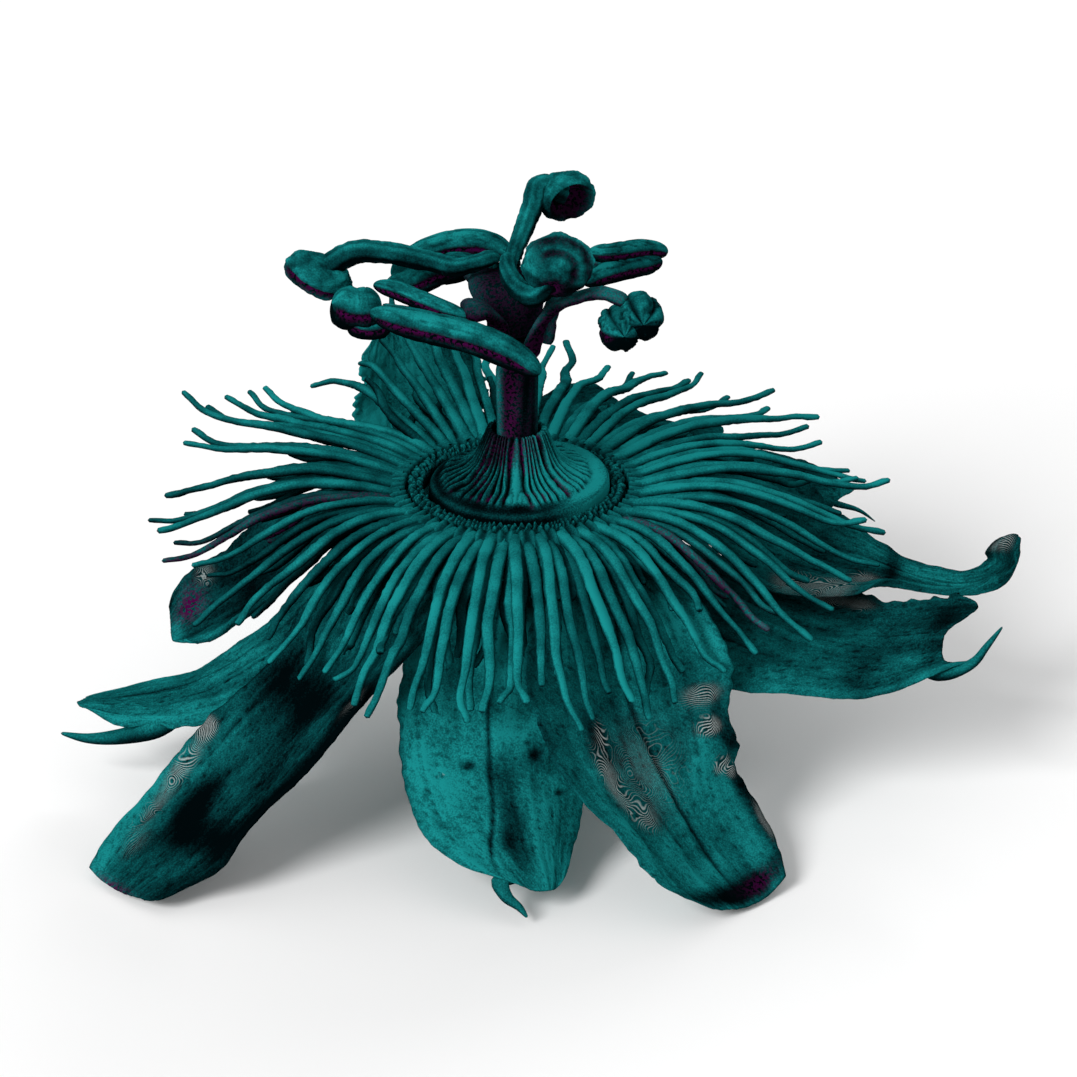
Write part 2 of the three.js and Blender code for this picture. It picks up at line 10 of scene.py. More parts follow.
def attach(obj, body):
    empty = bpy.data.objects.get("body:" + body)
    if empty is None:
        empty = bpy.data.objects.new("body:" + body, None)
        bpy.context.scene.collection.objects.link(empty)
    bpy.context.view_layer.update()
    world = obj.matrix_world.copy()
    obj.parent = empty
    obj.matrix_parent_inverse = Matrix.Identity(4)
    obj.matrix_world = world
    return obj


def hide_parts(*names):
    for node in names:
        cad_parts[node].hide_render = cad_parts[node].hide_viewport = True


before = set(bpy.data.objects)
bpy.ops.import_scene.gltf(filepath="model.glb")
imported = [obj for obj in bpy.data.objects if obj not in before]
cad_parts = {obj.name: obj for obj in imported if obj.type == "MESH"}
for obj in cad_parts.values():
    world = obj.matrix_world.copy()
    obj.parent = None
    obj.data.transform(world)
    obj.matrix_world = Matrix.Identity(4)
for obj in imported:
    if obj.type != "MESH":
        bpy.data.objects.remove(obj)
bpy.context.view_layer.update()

# Floral cup: the shallow green saucer at the flower's base, fleshy and firm, with the cut stub of the
# stalk under it. It is turned from one profile, and low ribs run down its outside to the stalk.
TO_FRAME = Matrix.Translation((-0.0016460, -0.0014267, 0.0195653)) @ Matrix.Scale(0.001, 4)
CUP_RADIUS = 7.9
CUP_PROFILE = [
    (0, -9.5), (1.4, -9.5), (1.5, -6.7), (2.8, -5.7), (5.4, -5), (7, -4.3), (7.75, -3), (7.9, -1.05),
    (6.2, -1.05), (6.2, -3.7), (0, -3.7),
]
CUP_RIBS = 10
CUP_RIB_HEIGHT = 0.12
CUP_RIM = -1.2
TEALS = {
    0: (0.0003, 0.002, 0.0025), 0.25: (0.0007, 0.0105, 0.012), 0.5: (0.0016, 0.037, 0.04),
    0.75: (0.0032, 0.092, 0.095), 1: (0.007, 0.2, 0.202),
}
PURPLE = (0.05, 0.002, 0.04)
PALE = (0.5, 0.56, 0.55)
GRAIN_SCALE = 9000
PATCH_SCALE = 600
SPECKLE_SCALE = 5200
SPECKLE_CUT = 0.47
CONTOUR_SLOPE = (4200, 1500, 4200)
CONTOUR_SCALE = 140
CONTOUR_DRIFT = 260
CONTOUR_GAP = 1.05
CONTOUR_EDGE = 2.5
THINNEST = 0.52
GRAIN_DEPTH = 0.00008


def turned(profile, segments, cuts, closed=False):
    """A piece turned round the column from a profile of radii and heights, cut finely along it."""
    shape = bmesh.new()
    corners = [shape.verts.new((radius, 0, height)) for radius, height in profile]
    pairs = list(zip(corners, corners[1:])) + ([(corners[-1], corners[0])] if closed else [])
    edges = [shape.edges.new(pair) for pair in pairs]
    bmesh.ops.subdivide_edges(shape, edges=edges, cuts=cuts)
    bmesh.ops.spin(
        shape, geom=shape.verts[:] + shape.edges[:], cent=(0, 0, 0), axis=(0, 0, 1),
        angle=2 * math.pi, steps=segments, use_merge=True,
    )
    bmesh.ops.remove_doubles(shape, verts=shape.verts, dist=0.001)
    bmesh.ops.recalc_face_normals(shape, faces=shape.faces)
    return shape


def reshape(shape, place):
    """Moves every point of a shape. place() gives its new position, shade, purple tinge and pale tinge."""
    marks = shape.verts.layers.float
    for name in ("shade", "tinge", "pale"):
        if not marks.get(name):
            marks.new(name)
    layers = [marks.get(name) for name in ("shade", "tinge", "pale")]
    for vert in shape.verts:
        vert.co, *values = place(vert.co.copy())
        for layer, value in zip(layers, values):
            vert[layer] = value
    bmesh.ops.remove_doubles(shape, verts=shape.verts, dist=0.001)


def tissue(name, grain, patches, bump):
    """Plant tissue: teals by the surface's painted light and shade, broken up by patches and by fine grain,
    and purple specks where it is tinged. Where the tissue has dried thin, pale lines follow its unevenness."""
    skin = bpy.data.materials.new(name)
    skin.use_nodes = True
    nodes, links = skin.node_tree.nodes, skin.node_tree.links
    shader = nodes["Principled BSDF"]
    shader.inputs["Roughness"].default_value = 0.85
    shader.inputs["Specular IOR Level"].default_value = 0
    place = nodes.new("ShaderNodeTexCoord").outputs["Object"]

    def mottle(scale, detail):
        cloud = nodes.new("ShaderNodeTexNoise")
        cloud.inputs["Scale"].default_value = scale
        cloud.inputs["Detail"].default_value = detail
        links.new(place, cloud.inputs["Vector"])
        return cloud.outputs["Fac"]

    def sum_of(operation, *terms):
        step = nodes.new("ShaderNodeMath")
        step.operation = operation
        for socket, term in zip(step.inputs, terms):
            if isinstance(term, (int, float)):
                socket.default_value = term
            else:
                links.new(term, socket)
        return step.outputs[0]

    def painted(attribute):
        source = nodes.new("ShaderNodeAttribute")
        source.attribute_name = attribute
        return source.outputs["Fac"]

    def over(amount, below, colour):
        blend = nodes.new("ShaderNodeMix")
        blend.data_type = "RGBA"
        blend.inputs["B"].default_value = (*colour, 1)
        links.new(amount, blend.inputs["Factor"])
        links.new(below, blend.inputs["A"])
        return blend.outputs["Result"]

    grains = mottle(GRAIN_SCALE, 3)
    level = sum_of("MULTIPLY_ADD", sum_of("SUBTRACT", grains, 0.5), grain, painted("shade"))
    level = sum_of("MULTIPLY_ADD", sum_of("SUBTRACT", mottle(PATCH_SCALE, 4), 0.5), patches, level)
    ramp = nodes.new("ShaderNodeValToRGB")
    ramp.color_ramp.elements[0].color = (*TEALS[0], 1)
    ramp.color_ramp.elements[1].color = (*TEALS[1], 1)
    for stop in (0.25, 0.5, 0.75):
        ramp.color_ramp.elements.new(stop).color = (*TEALS[stop], 1)
    links.new(level, ramp.inputs["Fac"])
    speckle = sum_of("GREATER_THAN", mottle(SPECKLE_SCALE, 1), SPECKLE_CUT)
    colour = over(sum_of("MULTIPLY", painted("tinge"), speckle), ramp.outputs["Color"], PURPLE)
    slope = nodes.new("ShaderNodeVectorMath")
    slope.operation = "DOT_PRODUCT"
    slope.inputs[1].default_value = CONTOUR_SLOPE
    links.new(place, slope.inputs[0])
    level = sum_of("MULTIPLY_ADD", mottle(CONTOUR_SCALE, 2), CONTOUR_DRIFT, slope.outputs["Value"])
    thin = painted("pale")
    lines = sum_of("ADD", sum_of("PINGPONG", level, 1), sum_of("MINIMUM", thin, THINNEST))
    lines = sum_of("MULTIPLY", sum_of("SUBTRACT", lines, CONTOUR_GAP), CONTOUR_EDGE)
    lines = sum_of("MINIMUM", sum_of("MAXIMUM", lines, 0), 0.85)
    lines = sum_of("MULTIPLY", lines, sum_of("MINIMUM", thin, 1))
    colour = over(sum_of("MULTIPLY", lines, sum_of("ADD", grains, 0.35)), colour, PALE)
    links.new(colour, shader.inputs["Base Color"])
    relief = nodes.new("ShaderNodeBump")
    relief.inputs["Strength"].default_value = bump
    relief.inputs["Distance"].default_value = GRAIN_DEPTH
    links.new(grains, relief.inputs["Height"])
    links.new(relief.outputs["Normal"], shader.inputs["Normal"])
    return skin


def placed(shape, name, skin):
    """Makes a shape, laid out in millimetres round the column, one object of the flower."""
    bmesh.ops.transform(shape, matrix=TO_FRAME, verts=shape.verts)
    bmesh.ops.recalc_face_normals(shape, faces=shape.faces)
    mesh = bpy.data.meshes.new(name)
    shape.to_mesh(mesh)
    shape.free()
    mesh.shade_smooth()
    mesh.materials.append(skin)
    piece = bpy.data.objects.new(name, mesh)
    bpy.context.scene.collection.objects.link(piece)
    return piece


def ribbed(p):
    """The cup's skin, with ribs below its rim, painted light on their crests and painted shade between them.
    """
    rib = CUP_RIB_HEIGHT * math.cos(CUP_RIBS * math.atan2(p.y, p.x)) * (p.z < CUP_RIM)
    flat = Vector((p.x, p.y, 0))
    return p + rib * flat / max(flat.length, 3), 0.7 + 0.8 * rib, 0, 0


cup = turned(CUP_PROFILE, 96, 3)
reshape(cup, ribbed)
cup = placed(cup, "cup_flesh", tissue("cup_skin", 1.1, 0.6, 0.5))
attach(cup, "root")
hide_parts("floral_cup")

# Sepals: five thick outer leaves of the flower, grown from the outside of the cup. Each has a crease along
# its middle, and carries a small horn, its awn, on its back just below the tip.
SEPAL_SEAT = -3
ROWS = 120
EDGE_SIDES = 144
BLADE_THICKNESS = 0.5
TIP_START = 0.76
BLUNT = 0.65
# Painted shade on the lower side of stalks, awns and strands.
UNDERSIDE_SHADE = 0.75
RELIEF = dict(wrinkle=0.16, crease=-0.25, vein=-0.06, fine=0.05, pit=-0.3, stipple=-0.08)
# Painted light and shade by a blade's traits: its crease, veins, pits, stipple and rims are painted darker,
# its raised wrinkles and fine streaks lighter.
SHADES = dict(wrinkle=0.22, crease=-0.7, vein=-0.3, fine=0.12, pit=-0.7, rim=-0.1, stipple=-0.6)
CREASE_WIDTH = 0.025
VEIN_WIDTH = 0.02
HORN_DEPTH = -0.55
HORN_HIDDEN = 0.06
# A blade's marks are soft spots of painted shade where their strength is below zero and of painted light
# where it is above.
SEPALS = {
    "sepal_front": dict(
        azimuth=-4, tip=0.45, skew=0.7, bulge=0.9, wave=0.25,
        path=[(-4, 12, -4.8), (-4.5, 15.4, -8), (-3.2, 18.3, -12.2), (0.3, 21.2, -15.4), (3.2, 23, -17.1)],
        halves=[3, 6.4, 7, 6.5, 5.5, 3.9], cup=[-20, -60, -60, -50, -30], roll=[0, 0, 0],
        awn_root=(0.93, -0.3), girth=0.95,
        awn=[(-2.4, 23.2, -17.1), (-1.4, 23.8, -17.9), (0.6, 24.3, -18.4), (1.9, 24.9, -18.9)],
        shade=0.9, rag=(0.03, 0.03), veins=[-0.76, 0.53],
        crease=0.8, fold=[-0.08, -0.08, -0.08, -0.09, -0.22, -0.75],
        marks=[
            (0.8, 0, 0.13, 0.17, -0.45), (0.87, -0.12, 0.035, 0.14, -0.35), (0.66, 0.12, 0.06, 0.2, -0.2),
            (0.38, -0.35, 0.08, 0.4, -0.2), (0.2, 0.2, 0.14, 0.9, 0.1), (0.93, 0.6, 0.05, 0.3, 0.1),
            (0.62, 0.4, 0.1, 0.14, -0.2),
        ],
        pits=[
            (0.62, -0.3, 0.012, 0.06, 1), (0.6, 0.38, 0.02, 0.06, 1), (0.735, 0.67, 0.009, 0.07, 0.8),
            (0.56, 0.3, 0.008, 0.03, 0.6), (0.68, -0.8, 0.012, 0.03, 0.5),
        ],
        pale=[(0.64, -0.58, 0.006, 0.025, 1.5)],
    ),
    "sepal_right": dict(
        azimuth=68, tip=0.85, skew=0.5, bulge=-1.3, wave=0.3,
        path=[(70, 12, -4.9), (70.6, 16, -6.9), (72.2, 21, -8.5), (74, 26, -8.8), (75, 30.7, -7.3)],
        halves=[3, 6, 6.8, 6.5, 5.7, 4.8], cup=[-20, -40, -20, 10, 30], roll=[0, 4, 8, 12],
        awn_root=(0.96, -0.85), girth=0.75,
        awn=[(67.4, 31, -8), (68.4, 32.3, -7.2), (69.1, 33, -6.1), (70.4, 33.9, -4.7)],
        shade=0.62, rag=(0.015, 0.1), veins=[-0.5, 0.2],
        lobes=[
            (0.8, -1, 0.12, 0.3, -0.17), (0.78, 1, 0.04, 0.3, -0.1), (0.28, -1, 0.1, 0.3, 0.2),
            (0.1, 1, 0.1, 0.3, 0.25),
        ],
        tips=[(1, 0.6, 0.12, 0.28, 1.6), (1, 1, 0.12, 0.15, -0.8), (1, -0.9, 0.12, 0.14, 1.4)],
        crease=0.15, fold=[0, 0],
        marks=[
            (0.95, 0.4, 0.07, 0.35, -0.5), (0.72, -0.4, 0.05, 0.3, -0.35), (0.6, 0.5, 0.2, 0.2, -0.2),
            (0.97, -0.25, 0.05, 0.3, -0.25), (0.7, -0.92, 0.3, 0.14, 0.25), (0.55, -0.3, 0.12, 0.35, 0.1),
            (0.8, 0.1, 0.05, 0.3, -0.25),
        ],
        pale=[(0.5, 0.9, 0.06, 0.12, 0.6), (0.6, 0.84, 0.06, 0.14, 0.7), (0.7, 0.76, 0.05, 0.13, 0.6)],
    ),
    "sepal_back_right": dict(
        azimuth=140, tip=0.3, skew=0, bulge=0.9, wave=0.3,
        path=[(138, 12, -4.1), (131, 17, -4.4), (124, 22, -4.6), (119, 26.6, -6)],
        halves=[3, 5.2, 6, 5.6, 4.8, 3.6], cup=[-20, -50, -50, -40], roll=[0, 0, 0],
        awn_root=(0.9, 0), girth=0.5,
        awn=[(119.5, 25.4, -7), (118.5, 27.8, -8.2), (118, 29.2, -9.4)],
        shade=0.6, rag=(0.03, 0.03), veins=[-0.4, 0.3],
        lobes=[(1, 1, 0.05, 0.8, 1.2), (1, -1, 0.05, 0.8, 1.2)],
        crease=0.2, fold=[0, 0],
        marks=[(0.8, 0.2, 0.1, 0.5, -0.2)],
    ),
    "sepal_back_left": dict(
        azimuth=212, tip=0.3, skew=0, bulge=0.9, wave=0.2,
        path=[(211, 11.2, -3), (209.5, 13.8, -0.8), (209, 15.6, 2.4), (209, 16.6, 6)],
        halves=[3, 4.2, 4.8, 5, 4.6, 4], cup=[-10, 10, 50, 70], roll=[0, 0, 0],
        awn_root=(0.88, 0), girth=0.5,
        awn=[(209, 17.4, 5), (209, 18.3, 6.6), (209, 18.4, 8.2)],
        shade=1.05, rag=(0.16, 0.16), veins=[-0.3, 0.4],
        crease=0.15, fold=[0, 0],
        marks=[(0.8, -0.75, 0.3, 0.3, -0.55), (0.95, 0, 0.05, 0.8, -0.15)],
    ),
    "sepal_left": dict(
        azimuth=284, tip=0.5, skew=0, bulge=0.9, wave=0.2,
        path=[
            (286, 12, -5.4), (287.3, 17, -9.2), (285.8, 22, -11.95),
            (283, 26.2, -13.2), (281, 29.5, -13.5),
        ],
        halves=[3, 4.8, 5.2, 5.2, 4.4, 1.7], cup=[-20, -60, -60, -40], roll=[0, 0, 0],
        awn_root=(0.8, 0.75), girth=1.25,
        awn=[(283.4, 27.8, -15.8), (282.2, 29.8, -16), (280.9, 31.8, -15.7)],
        shade=0.8, rag=(0.05, 0.05), veins=[0.25, 0.6],
        lobes=[(0.8, 1, 0.1, 0.3, -0.22), (0.66, 1, 0.06, 0.3, -0.1)],
        crease=0.5, fold=[-0.1, -0.1],
        marks=[
            (0.36, -0.2, 0.08, 0.5, -0.3), (0.5, 0.5, 0.08, 0.3, -0.25), (0.85, -0.1, 0.12, 0.08, -0.2),
        ],
        pale=[(0.3, -0.8, 0.04, 0.12, 0.9)],
    ),
}


def polar(radius, azimuth, height):
    """A point at a radius, an azimuth from the front towards the right, and a height."""
    turn = math.radians(azimuth)
    return Vector((radius * math.sin(turn), -radius * math.cos(turn), height))


def between(values, u):
    """The value at u, from 0 at a root to 1 at a tip, of a smooth line through evenly spaced values."""
    last = len(values) - 1
    span = min(int(u * last), last - 1)
    t = u * last - span
    a, b, c, d = (values[min(max(span + k, 0), last)] for k in (-1, 0, 1, 2))
    leaving, arriving = (c - a) / 2, (d - b) / 2
    cubic = 2 * b - 2 * c + leaving + arriving
    return ((cubic * t + 3 * c - 3 * b - 2 * leaving - arriving) * t + leaving) * t + b


def rounded(t, low, high):
    """A soft step from 0, where t is low or less, to 1, where it is high or more."""
    t = min(max((t - low) / (high - low), 0), 1)
    return t * t * (3 - 2 * t)


def smooth_path(points, steps):
    """Evenly spaced points and directions on a smooth line through the given points."""
    known = [Vector(p) for p in points]
    known = [2 * known[0] - known[1], *known, 2 * known[-1] - known[-2]]
    fine = []
    for a, b, c, d in zip(known, known[1:], known[2:], known[3:]):
        before, here, after = (math.sqrt((q - p).length) for p, q in ((a, b), (b, c), (c, d)))
        leaving = ((b - a) / before - (c - a) / (before + here) + (c - b) / here) * here
        arriving = ((c - b) / here - (d - b) / (here + after) + (d - c) / after) * here
        fine += interpolate_bezier(b, b + leaving / 3, c - arriving / 3, c, 24)[:-1]
    fine = np.array([*fine, known[-2]])
    far = np.concatenate([[0], np.cumsum(np.linalg.norm(np.diff(fine, axis=0), axis=1))])
    even = np.linspace(0, far[-1], steps + 1)
    line = np.stack([np.interp(even, far, fine[:, k]) for k in range(3)], axis=1)
    ways = np.gradient(line, axis=0)
    return [Vector(p) for p in line], [Vector(w).normalized() for w in ways]


def rod(sides, steps):
    """An open rod one millimetre in radius, from height 0 to 1, cut across into equal steps."""
    shape = bmesh.new()
    bmesh.ops.create_cone(shape, segments=sides, radius1=1, radius2=1, depth=1)
    bmesh.ops.translate(shape, vec=(0, 0, 0.5), verts=shape.verts)
    lengthwise = [e for e in shape.edges if abs(e.verts[0].co.z - e.verts[1].co.z) > 0.5]
    bmesh.ops.subdivide_edges(shape, edges=lengthwise, cuts=steps - 1, use_grid_fill=True)
    return shape


def stem(points, sides, steps, radius, depth=1, shade=lambda u: 0.8, tinge=0.0, texture=0.0, ribs=0.0):
    """A stalk along a path, with painted shade on its lower side and, where it has ribs, painted light on
    them.
    radius(u) is its half width. An end where that is nothing closes to a point, and the roots of the awns and
    strands, where it isn't, stay open."""
    line, ways = smooth_path(points, steps)
    shape = rod(sides, steps)

    def place(p):
        row = round(p.z * steps)
        u = row / steps
        side = Vector((0, 0, 1)).cross(ways[row]).normalized()
        under = side.cross(ways[row])
        wide = radius(u)
        rib = ribs * math.cos(7 * math.atan2(p.y, p.x))
        wide *= 1 + rib + texture * noise.noise(Vector((2 * p.x, 2 * p.y, 3 * u * len(points))))
        blunt = line[row].lerp(line[abs(row - 1)], BLUNT * (row in (0, steps)))
        at = blunt + side * (p.x * wide) + under * (p.y * wide * depth)
        return at, shade(u) - UNDERSIDE_SHADE * rounded(p.y, -0.8, 0.8) + 1.5 * rib, tinge, 0

    reshape(shape, place)
    return shape


def gather(shapes):
    """Several shapes as one."""
    whole = bmesh.new()
    for shape in shapes:
        mesh = bpy.data.meshes.new("gathered")
        shape.to_mesh(mesh)
        shape.free()
        whole.from_mesh(mesh)
        bpy.data.meshes.remove(mesh)
    return whole


def middle_line(blade, seat):
    """The middle line of a blade, from its seat on the cup, as points with the blade's two directions."""
    points = [polar(CUP_RADIUS + 0.3, blade["azimuth"], seat)]
    points += [polar(radius, azimuth, height) for azimuth, radius, height in blade["path"]]
    line, ways = smooth_path(points, ROWS)
    rows = []
    for row, (at, way) in enumerate(zip(line, ways)):
        side = Vector((0, 0, 1)).cross(way).normalized()
        side.rotate(Quaternion(way, math.radians(between(blade["roll"], row / ROWS))))
        rows.append((at, side, way.cross(side)))
    return rows


def spots(blade, kind, u, v):
    """The sum of a blade's soft spots of one kind at u along it and v across it, from -1 to 1. A spot is its
    u, v, half length, half width and strength. Lobes widen the blade by a share, and tips lengthen it in
    millimetres; marks, pits, pale and blush are its painted light and shade, its dents with painted shade in
    them, its thin patches and its purple."""
    return sum(
        strength * math.exp(-(((u - at) / far) ** 2) - ((v - off) / wide) ** 2)
        for at, off, far, wide, strength in blade.get(kind, ())
    )


def blade_point(blade, rows, row, v, depth):
    """A point of a blade at a row along it, at v from -1 to 1 across it, and at a depth over its middle."""
    at, side, normal = rows[row]
    u = row / ROWS
    tip = max(u - TIP_START, 0) / (1 - TIP_START)
    half = between(blade["halves"], u) * math.sqrt(1 - (1 - blade["tip"] ** 2) * tip ** 3)
    bend = math.radians(between(blade["cup"], u)) / 2
    bend = math.copysign(max(abs(bend), 0.01), bend)
    across = half * math.sin(bend * v) / bend
    lift = half * (1 - math.cos(bend * v)) / bend
    ripple = blade["wave"] * v * v * math.sin(17 * u + 2.2 * v)
    reach = blade["skew"] * v * rounded(u, 0.7, 1) + blade["bulge"] * (1 - v * v) * rounded(u, 0.85, 1)
    reach += spots(blade, "tips", u, v)
    over = side * (across - depth * math.sin(bend * v)) + side.cross(normal) * reach
    return at + over + normal * (lift + ripple + depth * math.cos(bend * v))


def blade_shape(blade, rows, seed):
    """A whole blade: a thin closed leaf with its crease, veins, pits, wrinkles and ragged edges. Its crease,
    veins, pits, stipple and rims are painted shade, its raised wrinkles and streaks painted light, and its
    marks are painted light and shade.
    """
    shape = rod(EDGE_SIDES, ROWS)

    def place(p):
        row = round(p.z * ROWS)
        u = row / ROWS
        turn = math.atan2(p.y, p.x) / math.pi
        v = 1 - 2 * abs(turn)
        hand = 1 if turn > 0 else -1
        wrinkle = noise.fractal(Vector((2.2 * v, 5 * u, seed)), 0.8, 2.1, 5)
        crease = math.exp(-(((v - between(blade["fold"], u)) / CREASE_WIDTH) ** 2))
        crease *= rounded(1 - u, 0, 0.15)
        crease *= blade["crease"]
        fine = noise.noise(Vector((11 * v + 2 * u, 2.5 * u, seed)))
        fine += 0.7 * noise.noise(Vector((30 * v, 6 * u, seed)))
        veins = sum(math.exp(-(((v - k) / VEIN_WIDTH) ** 2)) for k in blade["veins"])
        veins *= 0.5 + 1.2 * noise.noise(Vector((v, 60 * u, seed)))
        stipple = max(noise.noise(Vector((26 * v, 80 * u, seed))) - 0.15, 0)
        traits = dict(
            wrinkle=wrinkle, crease=crease, vein=veins, fine=fine, pit=spots(blade, "pits", u, v),
            rim=rounded(abs(v), 0.9, 1), stipple=stipple,
        )
        relief = sum(amount * traits[trait] for trait, amount in RELIEF.items())
        tear = noise.noise(Vector((9 * u, v, seed))) + noise.noise(Vector((31 * u, 3 * v, seed)))
        ragged = blade["rag"][v > 0] * tear * v ** 6 + spots(blade, "lobes", u, v)
        thick = BLADE_THICKNESS / 2 * math.sqrt(max(1 - v ** 8, 0)) * min(1, 8 * (1 - u), 8 * u)
        at = blade_point(blade, rows, row, v * (1 + ragged), relief + hand * thick)
        shade = blade["shade"] + spots(blade, "marks", u, v)
        shade += sum(amount * traits[trait] for trait, amount in SHADES.items())
        pale = spots(blade, "pale", u, v)
        return at, shade - 0.35 * min(pale, 1.2), spots(blade, "blush", u, v), pale

    reshape(shape, place)
    return shape


CELL = 0.5
STRAND_LIFT = 0.8
blade_skin = tissue("blade_skin", 0.8, 0.4, 0.45)
covered = {}


def cover_with(blade, rows):
    """Keeps how high a blade's upper side stands over each cell of the plan, for the strands to lie on."""
    for row in range(0, ROWS + 1, 2):
        for v in np.arange(-1, 1.001, 0.08):
            top = blade_point(blade, rows, row, v, 0.35 + STRAND_LIFT)
            for x, y in ((0, 0), (CELL, 0), (-CELL, 0), (0, CELL), (0, -CELL)):
                cell = (round((top.x + x) / CELL), round((top.y + y) / CELL))
                covered[cell] = max(covered.get(cell, -99), top.z)


for seed, (node, sepal) in enumerate(SEPALS.items()):
    rows = middle_line(sepal, SEPAL_SEAT)
    cover_with(sepal, rows)
    root_at, root_off = sepal["awn_root"]
    horn_path = [
        blade_point(sepal, rows, round((root_at - back) * ROWS), (0.85 - 6 * back) * root_off, HORN_DEPTH)
        for back in (HORN_HIDDEN, 0)
    ]
    horn_path += [polar(radius, azimuth, height) for azimuth, radius, height in sepal["awn"]]

    def horn_radius(u):
        return sepal["girth"] * (1.05 - 0.8 * u) * math.sqrt(1 - u ** 6) * rounded(u, -0.2, 0.25)

    horn = stem(horn_path, 14, 30, horn_radius, 0.7)
    leaf = placed(gather([blade_shape(sepal, rows, 3.7 * seed), horn]), node + "_leaf", blade_skin)
    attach(leaf, "root")
    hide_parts(node)

